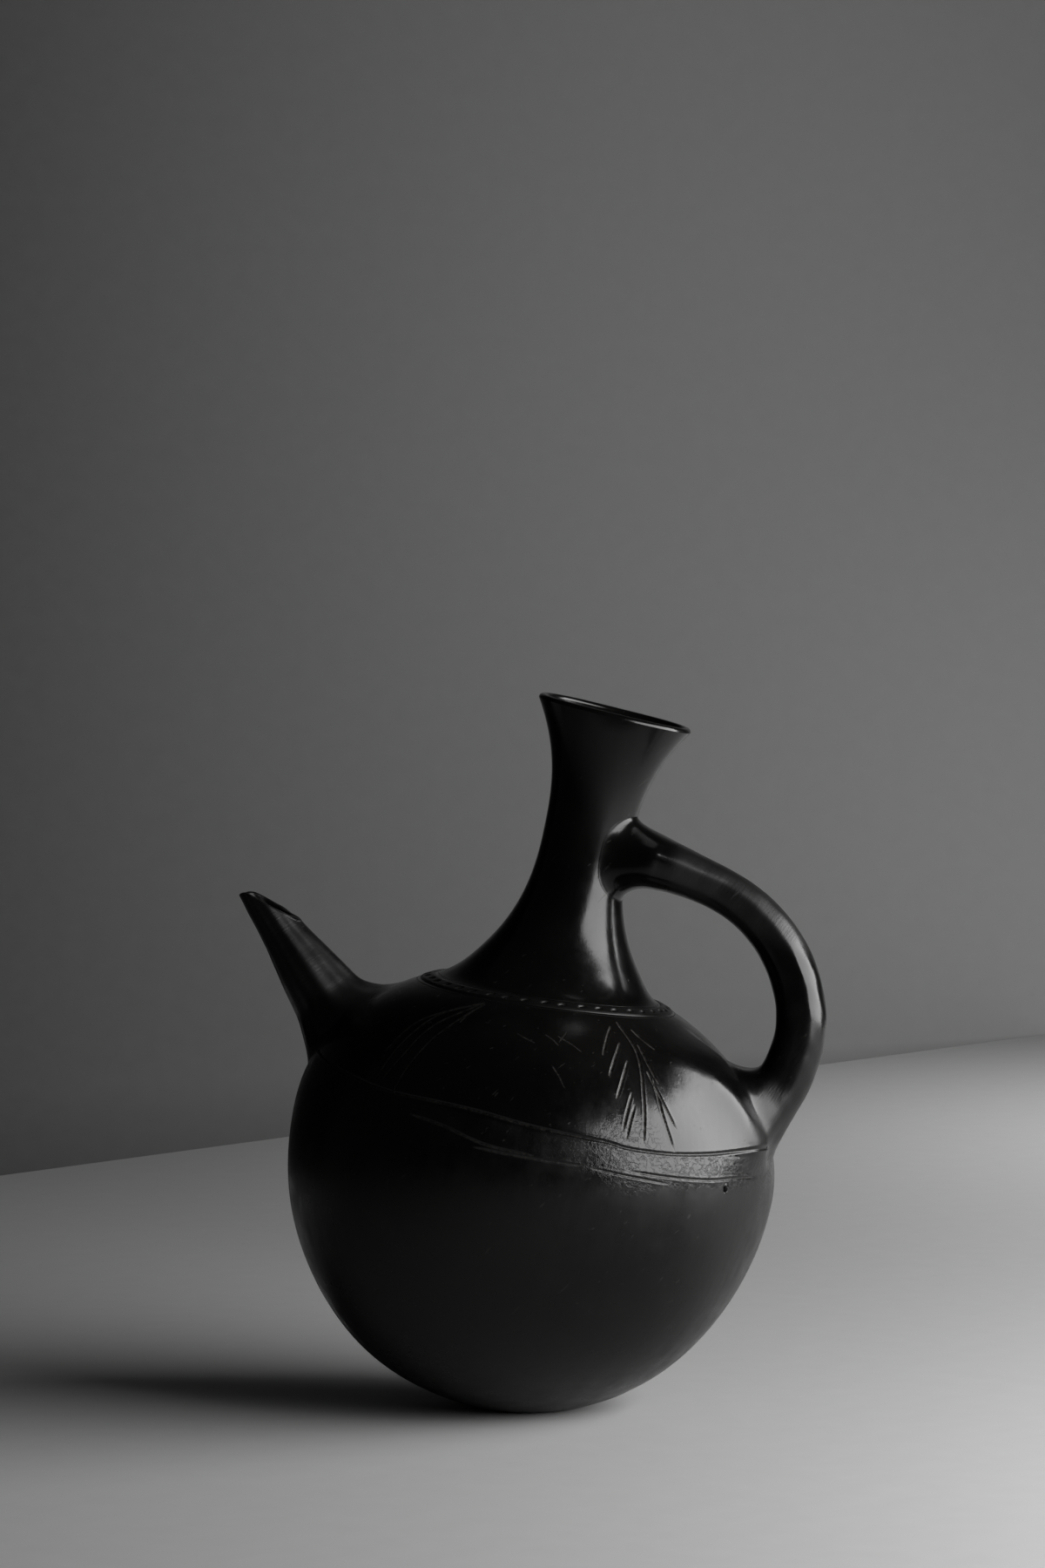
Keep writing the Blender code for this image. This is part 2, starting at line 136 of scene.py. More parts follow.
@dataclass(frozen=True)
class Ball:
    """The round body: two half ellipsoids that meet at its widest level."""

    radius: float = 75.0 * MM
    level: float = 5.3 * MM
    height: float = 57.5 * MM
    depth: float = 79.3 * MM
    wall: float = 5.2 * MM
    base_wall: float = 6.8 * MM

    def stretch(self, level: np.ndarray) -> np.ndarray:
        """Half axis of the ellipsoid that a level belongs to."""
        return np.where(level >= self.level, self.height, self.depth)

    def radius_at(self, level: np.ndarray) -> np.ndarray:
        """Radius of the ball at a level."""
        share = (level - self.level) / self.stretch(level)
        return self.radius * np.sqrt(np.clip(1.0 - share * share, 0.0, 1.0))

    def level_at(self, radius: np.ndarray) -> np.ndarray:
        """Level of the upper half at a radius."""
        share = np.clip(radius / self.radius, 0.0, 1.0)
        return self.level + self.height * np.sqrt(1.0 - share * share)

    def place(self, azimuth: np.ndarray, level: np.ndarray) -> np.ndarray:
        """Places on the surface, from azimuths in radians and levels."""
        radius = self.radius_at(level)
        return np.stack([radius * np.cos(azimuth), radius * np.sin(azimuth), level], axis=-1)

    def normal(self, points: np.ndarray) -> np.ndarray:
        """Outward directions of the surface.

        Args:
            points: Places on it.

        Returns:
            A unit vector for each of them.
        """
        slope = points.copy()
        slope[..., 2] = (points[..., 2] - self.level) / self.stretch(points[..., 2]) ** 2
        slope[..., :2] = points[..., :2] / self.radius**2
        return unit(slope)

    def value(self, points: np.ndarray) -> np.ndarray:
        """How far out points lie.

        Args:
            points: The places.

        Returns:
            1 on the surface, less inside and more outside.
        """
        share = (points[..., 2] - self.level) / self.stretch(points[..., 2])
        across = np.hypot(points[..., 0], points[..., 1]) / self.radius
        return np.hypot(share, across)

    def snap(self, points: np.ndarray) -> np.ndarray:
        """Pull points near the surface onto it."""
        middle = np.array([0.0, 0.0, self.level])
        return middle + (points - middle) / self.value(points)[..., None]

    def hit(self, origin: np.ndarray, direction: np.ndarray) -> np.ndarray:
        """Where lines from points leave the upper half of the ball.

        Args:
            origin: The points.
            direction: The direction of the lines.

        Returns:
            A place on the surface for each line.
        """
        scale = np.array([1.0 / self.radius, 1.0 / self.radius, 1.0 / self.height])
        start = (origin - np.array([0.0, 0.0, self.level])) * scale
        run = direction * scale
        a = np.sum(run * run, axis=-1)
        b = np.sum(run * start, axis=-1)
        c = np.sum(start * start, axis=-1) - 1.0
        reach = (-b + np.sqrt(np.maximum(b * b - a * c, 0.0))) / a
        return self.snap(origin + direction * reach[..., None])

    def outline(self, start: float, end: float, wall: float, base_wall: float, count: int) -> list:
        """Points (radius, level) of the outline between two angles above its widest level.

        Args:
            start: First angle in radians.
            end: Last angle in radians.
            wall: How far inside the surface the line lies.
            base_wall: The same, straight under the pot.
            count: Number of steps.

        Returns:
            The points, first to last.
        """
        points = []
        for angle in np.linspace(start, end, count + 1):
            tall = self.height - wall if angle > 0.0 else self.depth - base_wall
            across = (self.radius - wall) * math.cos(angle)
            points.append((max(across, 0.0), self.level + tall * math.sin(angle)))
        return points

    def angle_at(self, level: float, wall: float = 0.0) -> float:
        """Angle of the upper outline at a level."""
        return math.asin((level - self.level) / (self.height - wall))


def unit(vectors: np.ndarray) -> np.ndarray:
    """Vectors scaled to length 1."""
    return vectors / np.linalg.norm(vectors, axis=-1, keepdims=True)


def nearest_index(places: np.ndarray, points: np.ndarray) -> np.ndarray:
    """Find the nearest of some places.

    Args:
        places: The places to choose from.
        points: The points to find one for.

    Returns:
        The number of the nearest place, for each point.
    """
    tree = kdtree.KDTree(len(places))
    for index, place in enumerate(places):
        tree.insert(place, index)
    tree.balance()
    return np.array([tree.find(point)[1] for point in points], int)


def smooth_step(value: np.ndarray, low: float, high: float) -> np.ndarray:
    """0 below low, 1 above high and a smooth rise between them."""
    share = np.clip((value - low) / (high - low), 0.0, 1.0)
    return share * share * (3.0 - 2.0 * share)


def along_skin(out: np.ndarray, normal: np.ndarray) -> np.ndarray:
    """Directions turned into the surface whose outward directions are given."""
    return unit(out - normal * np.sum(out * normal, axis=1, keepdims=True))


def sunk_edge(landing: np.ndarray, away: np.ndarray, normal: np.ndarray) -> list[np.ndarray]:
    """Two rings that take the edge of a piece into the clay that it is luted to.

    Args:
        landing: The ring at which the piece meets the clay.
        away: Directions along the clay, away from the piece.
        normal: Outward directions of the clay.

    Returns:
        The rings, outer one first.
    """
    return [landing + away * run * MM - normal * deep * MM for run, deep in ((0.8, 0.25), (1.0, 1.2))]


def bridge(
    start: np.ndarray, start_pull: np.ndarray, end: np.ndarray, end_pull: np.ndarray, count: int
) -> np.ndarray:
    """Rows of a smooth skin from one ring of points to another.

    Args:
        start: First ring, as (columns, 3).
        start_pull: Direction and strength in which the skin leaves it.
        end: Last ring.
        end_pull: Direction and strength in which the skin arrives there.
        count: Number of steps.

    Returns:
        The rows, as (count + 1, columns, 3).
    """
    share = np.linspace(0.0, 1.0, count + 1)[:, None, None]
    square, cube = share**2, share**3
    return (
        (2.0 * cube - 3.0 * square + 1.0) * start
        + (cube - 2.0 * square + share) * start_pull
        + (3.0 * square - 2.0 * cube) * end
        + (cube - square) * end_pull
    )


def spline(points: np.ndarray, steps: int) -> np.ndarray:
    """A smooth line through points.

    Args:
        points: The points, as (count, any).
        steps: Steps between two of them.

    Returns:
        The points of the line.
    """
    padded = np.concatenate([2 * points[:1] - points[1:2], points, 2 * points[-1:] - points[-2:-1]])
    share = (np.arange(steps) / steps)[:, None]
    line = []
    for a, b, c, d in zip(padded, padded[1:], padded[2:], padded[3:]):
        line.append(
            b
            + 0.5 * share * (c - a)
            + share**2 * (a - 2.5 * b + 2.0 * c - 0.5 * d)
            + share**3 * (1.5 * (b - c) + 0.5 * (d - a))
        )
    return np.concatenate(line + [points[-1:]])


@dataclass(frozen=True)
class Smear:
    """Clay of the handle's foot that is smeared over the shoulder in front of it.

    It thickens towards a brink: azimuth in degrees, level in millimetres and slope at the brink.
    """

    ball: Ball
    brink: tuple[tuple[float, float, float], ...] = (
        (-55.0, 46.8, 0.0), (-49.5, 46.5, 0.07), (-43.0, 45.6, 0.15), (-37.0, 44.6, 0.21),
        (-31.5, 42.6, 0.25), (-27.0, 39.8, 0.30), (-23.5, 35.4, 0.34), (-20.8, 30.0, 0.35),
        (-19.5, 25.0, 0.35), (-19.0, 18.0, 0.35), (-19.0, 12.0, 0.35),
    )
    width: float = 23.0 * MM
    edge: float = 5.0 * MM
    low_fade: tuple[float, float] = (17.0 * MM, 27.0 * MM)
    high_fade: tuple[float, float] = (46.0 * MM, 56.0 * MM)
    turn_fade: tuple[float, float] = (3.0, 13.0)
    brink_steps: int = 16

    def height(self, points: np.ndarray) -> np.ndarray:
        """How thick the smear lies on points of the ball's surface.

        Args:
            points: Places on the ball.

        Returns:
            The thickness at each of them.
        """
        line = spline(np.array(self.brink), self.brink_steps)
        places = self.ball.place(np.radians(line[:, 0]), line[:, 1] * MM)
        inward = unit(np.cross(np.gradient(places, axis=0), self.ball.normal(places)))
        nearest = nearest_index(places, points)
        gap = points - places[nearest]
        past = np.sum(gap * inward[nearest], axis=1)
        away = np.linalg.norm(gap, axis=1)
        slope = line[nearest, 2]
        inside = slope * self.width / 3.0 * np.clip(1.0 - away / self.width, 0.0, 1.0) ** 3
        over = np.clip(away / self.edge, 0.0, 1.0)
        outside = slope * (self.width / 3.0 + self.edge * (over - 0.5 * over**2))
        level = points[:, 2]
        shown = smooth_step(level, *self.low_fade) * (1.0 - smooth_step(level, *self.high_fade))
        turn = -np.degrees(np.arctan2(points[:, 1], points[:, 0]))
        return np.where(past > 0.0, inside, outside) * shown * smooth_step(turn, *self.turn_fade)


class Modeller:
    """Makes the mesh objects with the modelling tools, upright, and then tips them."""

    def __init__(self, pose: RestPose, wobble: HandWobble) -> None:
        """Keep the pose and the unevenness that all pieces share."""
        self.pose = pose
        self.wobble = wobble

    def turned(self, name: str, outline: list, steps: int) -> bpy.types.Object:
        """Draw an outline point by point and turn it round the pot's axis.

        Args:
            name: Name of the piece.
            outline: Points (radius, level) of the outline.
            steps: Steps round.

        Returns:
            The upright object.
        """
        obj = self.start(name, bpy.ops.mesh.primitive_plane_add, size=MM)
        bpy.ops.object.mode_set(mode="EDIT")
        bpy.ops.mesh.select_all(action="SELECT")
        bpy.ops.mesh.merge(type="CENTER")
        bpy.ops.transform.translate(value=(outline[0][0], 0.0, outline[0][1]))
        for before, after in zip(outline, outline[1:]):
            move = (after[0] - before[0], 0.0, after[1] - before[1])
            bpy.ops.mesh.extrude_region_move(TRANSFORM_OT_translate={"value": move})
        bpy.ops.mesh.select_all(action="SELECT")
        bpy.ops.mesh.spin(
            steps=steps, angle=2.0 * math.pi, center=(0.0, 0.0, 0.0), axis=(0.0, 0.0, 1.0)
        )
        self.weld()
        return obj

    def wrapped(self, name: str, rows: np.ndarray) -> bpy.types.Object:
        """Wrap a sheet of quads round rows of points that each run once round the piece.

        Args:
            name: Name of the piece.
            rows: The points, as (rows, columns, 3).

        Returns:
            The upright object.
        """
        count, columns = rows.shape[:2]
        obj = self.start(
            name,
            bpy.ops.mesh.primitive_grid_add,
            x_subdivisions=columns,
            y_subdivisions=count - 1,
            size=1.0,
        )
        flat = self.points(obj)
        row = np.rint((flat[:, 1] + 0.5) * (count - 1)).astype(int)
        column = np.rint((flat[:, 0] + 0.5) * columns).astype(int) % columns
        self.set_points(obj, rows[row, column])
        bpy.ops.object.mode_set(mode="EDIT")
        self.weld()
        return obj

    def start(self, name: str, add: Callable, **sizes: float) -> bpy.types.Object:
        """Add a primitive under a name, with nothing else selected.

        Args:
            name: The name.
            add: Operator that adds the primitive.
            sizes: Its options.

        Returns:
            The object.
        """
        bpy.ops.object.select_all(action="DESELECT")
        add(**sizes)
        obj = bpy.context.object
        obj.name = name
        obj.data.name = name
        return obj

    def weld(self) -> None:
        """Join the points that meet, turn the faces outwards and leave edit mode."""
        bpy.ops.mesh.select_all(action="SELECT")
        bpy.ops.mesh.remove_doubles(threshold=MERGE_DISTANCE)
        bpy.ops.mesh.normals_make_consistent(inside=False)
        bpy.ops.object.mode_set(mode="OBJECT")

    def refine(self, obj: bpy.types.Object, chosen: np.ndarray, cuts: int) -> None:
        """Subdivide the chosen faces of an object.

        Args:
            obj: The object.
            chosen: True for each face to subdivide.
            cuts: Cuts across each of them.
        """
        self.pick(obj, chosen)
        bpy.ops.mesh.subdivide(number_cuts=cuts, quadcorner="INNERVERT")
        bpy.ops.object.mode_set(mode="OBJECT")

    def remove(self, obj: bpy.types.Object, chosen: np.ndarray) -> None:
        """Cut faces out of an object.

        Args:
            obj: The object.
            chosen: True for each face to cut out.
        """
        self.pick(obj, chosen)
        bpy.ops.mesh.delete(type="FACE")
        bpy.ops.object.mode_set(mode="OBJECT")

    def pick(self, obj: bpy.types.Object, chosen: np.ndarray) -> None:
        """Select faces of an object, in edit mode.

        Args:
            obj: The object.
            chosen: True for each face to select.
        """
        bpy.ops.object.select_all(action="DESELECT")
        bpy.context.view_layer.objects.active = obj
        obj.select_set(True)
        bpy.ops.object.mode_set(mode="EDIT")
        bpy.ops.mesh.select_mode(type="FACE")
        bpy.ops.mesh.select_all(action="DESELECT")
        bpy.ops.object.mode_set(mode="OBJECT")
        obj.data.polygons.foreach_set("select", chosen.astype(bool))
        bpy.ops.object.mode_set(mode="EDIT")

    def points(self, obj: bpy.types.Object) -> np.ndarray:
        """Read where the object's points are.

        Args:
            obj: The object.

        Returns:
            The points, as (count, 3).
        """
        flat = np.empty(len(obj.data.vertices) * 3, np.float32)
        obj.data.vertices.foreach_get("co", flat)
        return flat.reshape(-1, 3).astype(float)

    def set_points(self, obj: bpy.types.Object, points: np.ndarray) -> None:
        """Move the object's points."""
        obj.data.vertices.foreach_set("co", points.astype(np.float32).ravel())
        obj.data.update()

    def middles(self, obj: bpy.types.Object) -> np.ndarray:
        """Read where the middles of the object's faces are.

        Args:
            obj: The object.

        Returns:
            The middles, as (count, 3).
        """
        flat = np.empty(len(obj.data.polygons) * 3, np.float32)
        obj.data.polygons.foreach_get("center", flat)
        return flat.reshape(-1, 3).astype(float)

    def mark(self, obj: bpy.types.Object, name: str, values: np.ndarray) -> None:
        """Store a value at each point, for the finish to read."""
        layer = obj.data.attributes.new(name, "FLOAT", "POINT")
        layer.data.foreach_set("value", values.astype(np.float32))

    def place(self, obj: bpy.types.Object, finish: "ClayFinish", *nodes: str) -> None:
        """Tip a finished piece into the leaning pose, and let it stand for its CAD nodes.

        Args:
            obj: The upright object.
            finish: Its finish.
            nodes: CAD nodes that it stands for.
        """
        self.set_points(obj, self.pose.tip(self.wobble.bend(self.points(obj))))
        bpy.ops.object.select_all(action="DESELECT")
        obj.select_set(True)
        bpy.context.view_layer.objects.active = obj
        bpy.ops.object.shade_smooth_by_angle(angle=SMOOTH_ANGLE)
        obj.data.materials.clear()
        obj.data.materials.append(finish.material())
        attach(obj, "root")
        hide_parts(*nodes)
        LOG.info("%s: %d faces", obj.name, len(obj.data.polygons))


@dataclass(frozen=True)
class Stroke:
    """A line drawn in the clay with a point: places on the ball, half width and depth."""

    line: tuple[tuple[float, float], ...]
    half_width: float = 0.50 * MM
    depth: float = 0.30 * MM
    fade: float = 3.0 * MM
    dusty: float = 1.0
    end_width: float = 0.6
    early: float = 0.3
    line_steps: int = 24

    def samples(self, ball: Ball, step: float) -> np.ndarray:
        """Close points along the stroke.

        Args:
            ball: The ball that it is drawn on.
            step: Distance between the points.

        Returns:
            x, y, level, half width, depth and dustiness of each point.
        """
        line = spline(np.array(self.line), self.line_steps)
        places = ball.place(np.radians(line[:, 0]), line[:, 1] * MM)
        run = np.concatenate([[0.0], np.cumsum(np.linalg.norm(np.diff(places, axis=0), axis=1))])
        spots = np.linspace(0.0, run[-1], max(3, int(run[-1] / step)))
        places = np.stack([np.interp(spots, run, places[:, i]) for i in range(3)], axis=1)
        to_end = np.minimum(spots, run[-1] - spots)
        press = smooth_step(to_end, -self.early * self.fade, self.fade)
        width = self.half_width * (self.end_width + (1.0 - self.end_width) * press)
        return np.column_stack([places, width, self.depth * press, np.full(len(spots), self.dusty)])


class Engraving:
    """All the strokes on the body, as one shape pressed into its skin."""

    roundness: float = 1.5
    burr_place: float = 1.45
    burr_width: float = 0.42
    burr_height: float = 0.22
    bare_reach: float = 1.15

    def __init__(self, ball: Ball, strokes: list[Stroke], step: float = 0.18 * MM) -> None:
        """Lay close points along every stroke.

        Args:
            ball: The ball that they are drawn on.
            strokes: The strokes.
            step: Distance between the points.
        """
        self.samples = np.concatenate([stroke.samples(ball, step) for stroke in strokes])
        self.tree = kdtree.KDTree(len(self.samples))
        for index, sample in enumerate(self.samples):
            self.tree.insert(sample[:3], index)
        self.tree.balance()

    def nearest(self, points: np.ndarray) -> tuple[np.ndarray, np.ndarray]:
        """Find the nearest sample of the strokes.

        Args:
            points: Points on the skin.

        Returns:
            The distance to it and its number, for each point.
        """
        found = [self.tree.find(point)[1:] for point in points]
        return np.array([f[1] for f in found]), np.array([f[0] for f in found], int)

    def press(self, points: np.ndarray) -> tuple[np.ndarray, np.ndarray]:
        """How far the strokes press the skin in, and how much bare groove shows.

        Args:
            points: Points on the skin.

        Returns:
            The depth of each point (the burr beside a stroke is negative), and 0 to 1 for the groove.
        """
        distance, index = self.nearest(points)
        half_width, depth, dusty = self.samples[index, 3:].T
        share = distance / half_width
        groove = np.clip(1.0 - share * share, 0.0, 1.0) ** self.roundness
        burr = np.exp(-(((share - self.burr_place) / self.burr_width) ** 2))
        bare = np.clip(self.bare_reach - share, 0.0, 1.0)
        return depth * (groove - self.burr_height * burr), bare * dusty


class Graph:
    """A material's node tree; its one method makes any node."""

    def __init__(self, tree: bpy.types.NodeTree) -> None:
        """Keep the tree."""
        self.tree = tree

    def node(self, kind: str, settings: dict | None = None, **inputs: Source) -> bpy.types.Node:
        """Make a node.

        Args:
            kind: Its type, without the ShaderNode in front.
            settings: Values of its own properties.
            inputs: Values or sockets of its inputs; spaces in names are underscores.

        Returns:
            The node.
        """
        made = self.tree.nodes.new("ShaderNode" + kind)
        for name, value in (settings or {}).items():
            setattr(made, name, value)
        for name, value in inputs.items():
            self.feed(made.inputs[name.replace("_", " ")], value)
        return made

    def feed(self, socket: bpy.types.NodeSocket, value: Source) -> None:
        """Give an input a value, or link it.

        Args:
            socket: The input.
            value: A value, or the term or socket to link it to.
        """
        if isinstance(value, Term):
            value = value.socket
        if isinstance(value, bpy.types.NodeSocket):
            self.tree.links.new(value, socket)
        else:
            socket.default_value = value

    def noise(self, coords: Source, scale: float, detail: float = 3.0, rough: float = 0.5) -> "Term":
        """A noise value of about 0 to 1."""
        made = self.node("TexNoise", Vector=coords, Scale=scale, Detail=detail, Roughness=rough)
        return Term(self, made.outputs[0])

    def stretched(self, coords: Source, turn: tuple, scale: tuple, rough: float = 0.5) -> "Term":
        """A noise that is drawn out along one direction.

        Args:
            coords: The coordinates.
            turn: How its axes are turned.
            scale: Its scale along each of them.
            rough: Strength of its finer octaves.

        Returns:
            A value of about 0 to 1.
        """
        size = tuple(1.0 / part for part in scale)
        made = self.node("Mapping", {"vector_type": "TEXTURE"}, Vector=coords, Rotation=turn, Scale=size)
        return self.noise(made.outputs[0], 1.0, 3.0, rough)

    def ramp(self, value: "Term", low: float, high: float) -> "Term":
        """A smooth rise from 0 to 1.

        Args:
            value: The value that drives it.
            low: Where it starts.
            high: Where it ends.

        Returns:
            The rise.
        """
        made = self.node(
            "MapRange",
            {"interpolation_type": "SMOOTHSTEP"},
            Value=value,
            From_Min=low,
            From_Max=high,
            To_Min=0.0,
            To_Max=1.0,
        )
        return Term(self, made.outputs[0])

    def blend(self, share: "Term", first: Source, second: Source) -> bpy.types.NodeSocket:
        """A mix of two colours."""
        made = self.node("MixRGB", Fac=share, Color1=first, Color2=second)
        return made.outputs[0]


class Term:
    """A number in a node tree that can be added, multiplied and so on."""

    def __init__(self, graph: Graph, socket: bpy.types.NodeSocket) -> None:
        """Wrap a socket."""
        self.graph = graph
        self.socket = socket

    def math(self, operation: str, *others: Source) -> "Term":
        """Apply a math node to this term and others.

        Args:
            operation: The node's operation.
            others: The other values.

        Returns:
            The result.
        """
        made = self.graph.tree.nodes.new("ShaderNodeMath")
        made.operation = operation
        for socket, value in zip(made.inputs, (self, *others)):
            self.graph.feed(socket, value)
        return Term(self.graph, made.outputs[0])

    def __add__(self, other: Source) -> "Term":
        """This plus another."""
        return self.math("ADD", other)

    def __sub__(self, other: Source) -> "Term":
        """This minus another."""
        return self.math("SUBTRACT", other)

    def __mul__(self, other: Source) -> "Term":
        """This times another."""
        return self.math("MULTIPLY", other)

    def __radd__(self, other: Source) -> "Term":
        """Another plus this."""
        return self.math("ADD", other)

    def __rsub__(self, other: Source) -> "Term":
        """Another minus this."""
        return (self * -1.0) + other

    def __rmul__(self, other: Source) -> "Term":
        """Another times this."""
        return self.math("MULTIPLY", other)

    def __neg__(self) -> "Term":
        """This with its sign changed."""
        return self * -1.0


@dataclass(frozen=True)
class ClayPlaces:
    """Where a point of the clay lies on the pot: terms of a node tree, 1 inside each place."""

    above: Term
    raw: Term
    spout: Term
    streaks: Term
    arch: Term
    handle: Term


@dataclass(frozen=True)
class ClaySkin:
    """Patterns in the skin of the clay, as terms of a node tree."""

    cloud: Term
    grain: Term
    pores: Term
    rubbing: Term
    scratch: Term
    groove: Term


@dataclass(frozen=True)
class ClayFinish:
    """Smoked black clay, rubbed to a soft gloss with a stone before it was fired.

    A pair of relief values holds what shows everywhere and what is added on the raw clay.
    """

    slot: Slot = Slot.BURNISHED
    clay: tuple[float, float, float, float] = (0.0009, 0.0008, 0.0008, 1.0)
    smoke: tuple[float, float, float, float] = (0.0022, 0.0020, 0.0019, 1.0)
    dust: tuple[float, float, float, float] = (0.0450, 0.0425, 0.0400, 1.0)
    groove_dust: float = 0.75
    scratch_dust: float = 0.12
    pore_dust: float = 0.06
    matt: float = 0.32
    gloss: float = 0.19
    shine: float = 0.23
    coat_rough: float = 0.42
    arch_coat: float = 0.25
    raw_gloss: float = 0.11
    rubbing_rough: float = 0.14
    cloud_rough: float = 0.10
    mottle_rough: float = 0.34
    mottle_eased: float = 0.12
    groove_rough: float = 0.25
    scratch_rough: float = 0.10
    spout_rough: float = 0.24
    handle_rough: float = 0.20
    rubbing_relief: float = 0.40
    cloud_relief: float = 0.70
    pore_relief: tuple[float, float] = (0.10, 1.10)
    grain_relief: tuple[float, float] = (0.02, 0.14)
    scratch_relief: tuple[float, float] = (0.06, 0.10)
    fissure_relief: float = 0.34
    handle_relief: float = 0.50
    bump_strength: float = 0.45
    bump_depth: float = 0.30 * MM
    band: tuple[float, float] = (15.2 * MM, 23.2 * MM)
    band_sides: tuple[float, float] = (20.0 * MM, 37.0 * MM)
    band_least: float = 0.2
    rubbed_place: tuple[float, float, float] = (38.0 * MM, -60.5 * MM, 21.0 * MM)
    rubbed_reach: tuple[float, float] = (6.0 * MM, 15.0 * MM)
    spout_levels: tuple[float, float] = (36.0 * MM, 42.0 * MM)
    spout_sides: tuple[float, float] = (54.0 * MM, 60.0 * MM)
    streak_heights: tuple[float, float] = (1.0 * MM, 3.5 * MM)
    streak_sides: tuple[float, float] = (2.0 * MM, 4.0 * MM)
    arch_levels: tuple[float, float] = (82.0 * MM, 90.0 * MM)
    arch_sides: tuple[float, float] = (22.0 * MM, 28.0 * MM)
    arch_turn: float = 1.95
    foot_levels: tuple[float, float] = (24.0 * MM, 29.0 * MM)
    foot_ends: tuple[float, float] = (50.0 * MM, 76.0 * MM)
    foot_sides: tuple[float, float] = (64.0 * MM, 69.0 * MM)

    def material(self) -> bpy.types.Material:
        """The finish as a material, made once.

        Returns:
            The material.
        """
        name = self.slot.value + "_finish"
        made = bpy.data.materials.get(name)
        if made is None:
            made = bpy.data.materials.new(name)
            made.use_nodes = True
            self.paint(Graph(made.node_tree))
        return made

    def paint(self, graph: Graph) -> None:
        """Build the node tree.

        Args:
            graph: The material's tree.
        """
        shader = graph.tree.nodes["Principled BSDF"]
        shader.inputs["Specular IOR Level"].default_value = self.shine
        shader.inputs["Coat Roughness"].default_value = self.coat_rough
        upright = graph.node(
            "VectorRotate",
            {"rotation_type": "Y_AXIS"},
            Vector=graph.node("TexCoord").outputs["Object"],
            Center=(RestPose.shift, 0.0, RestPose.height),
            Angle=-RestPose.lean,
        ).outputs[0]
        places = self.places(graph, upright)
        skin = self.skin(graph, upright)
        coat = places.spout * places.streaks + places.arch * self.arch_coat
        relief = self.relief(graph, upright, places, skin)
        bump = graph.node("Bump", Height=relief, Strength=self.bump_strength, Distance=self.bump_depth)
        graph.feed(shader.inputs["Base Color"], self.colour(graph, skin))
        graph.feed(shader.inputs["Coat Weight"], coat)
        graph.feed(shader.inputs["Roughness"], self.roughness(graph, upright, places, skin))
        graph.feed(shader.inputs["Normal"], bump.outputs[0])

    def places(self, graph: Graph, upright: bpy.types.NodeSocket) -> ClayPlaces:
        """Find where a point lies on the pot.

        Args:
            graph: The material's tree.
            upright: The point, with the pot turned upright.

        Returns:
            The places.
        """
        x, y, z = (Term(graph, part) for part in graph.node("SeparateXYZ", Vector=upright).outputs)
        side, beside, level = x - RestPose.shift, y.math("ABSOLUTE"), z - RestPose.height
        low, high = self.band
        above = graph.ramp(level, high - 1.0 * MM, high + 0.4 * MM)
        band = graph.ramp(level, low - 3.0 * MM, low + 1.0 * MM) * (1.0 - above)
        raw = band * (self.band_least + graph.ramp(side, *self.band_sides) * (1.0 - self.band_least))
        reach = graph.node("VectorMath", {"operation": "DISTANCE"})
        graph.feed(reach.inputs[0], upright)
        graph.feed(reach.inputs[1], np.array(self.rubbed_place) + (RestPose.shift, 0.0, RestPose.height))
        near = 1.0 - graph.ramp(Term(graph, reach.outputs["Value"]), *self.rubbed_reach)
        sin, cos = math.sin(Spout.rise), math.cos(Spout.rise)
        over = (side - Spout.root[0]) * sin + (level - Spout.root[1]) * cos
        arch = graph.ramp(level, *self.arch_levels) * graph.ramp(side, *self.arch_sides)
        foot = graph.ramp(level, *self.foot_levels) * (1.0 - graph.ramp(level, *self.foot_ends))
        return ClayPlaces(
            above=above,
            raw=raw + near * (1.0 - raw),
            spout=graph.ramp(level, *self.spout_levels) * graph.ramp(-side, *self.spout_sides),
            streaks=graph.ramp(over, *self.streak_heights) * graph.ramp(beside, *self.streak_sides),
            arch=arch,
            handle=arch + foot * graph.ramp(side, *self.foot_sides),
        )

    def skin(self, graph: Graph, upright: bpy.types.NodeSocket) -> ClaySkin:
        """Lay the patterns of the skin.

        Args:
            graph: The material's tree.
            upright: The point, with the pot turned upright.

        Returns:
            The patterns.
        """
        hatch = graph.stretched(upright, turn=(0.5, 0.35, 0.9), scale=(640.0, 640.0, 46.0))
        cross = graph.stretched(upright, turn=(-0.8, 0.2, -0.5), scale=(820.0, 820.0, 70.0))
        return ClaySkin(
            cloud=graph.noise(upright, scale=26.0, detail=4.0),
            grain=graph.noise(upright, scale=1500.0, detail=2.0),
            pores=graph.noise(upright, scale=620.0, rough=0.65),
            rubbing=graph.stretched(upright, turn=(0.0, 0.0, 0.0), scale=(230.0, 230.0, 34.0), rough=0.6),
            scratch=graph.ramp(hatch, 0.69, 0.74) + graph.ramp(cross, 0.70, 0.75),
            groove=Term(graph, graph.node("Attribute", {"attribute_name": "groove"}).outputs["Fac"]),
        )

    def colour(self, graph: Graph, skin: ClaySkin) -> bpy.types.NodeSocket:
        """Mix the sooty clay with the dust in its grooves, scratches and pores.

        Args:
            graph: The material's tree.
            skin: The patterns of the skin.

        Returns:
            The colour.
        """
        bare = graph.ramp(skin.grain * 0.5 + skin.pores * 0.8, 0.45, 0.85)
        dust = skin.groove * bare * self.groove_dust + skin.scratch * self.scratch_dust
        dust = dust + graph.ramp(skin.pores, 0.68, 0.80) * self.pore_dust
        soot = graph.blend(graph.ramp(skin.cloud, 0.35, 0.70), self.clay, self.smoke)
        return graph.blend(dust, soot, self.dust)

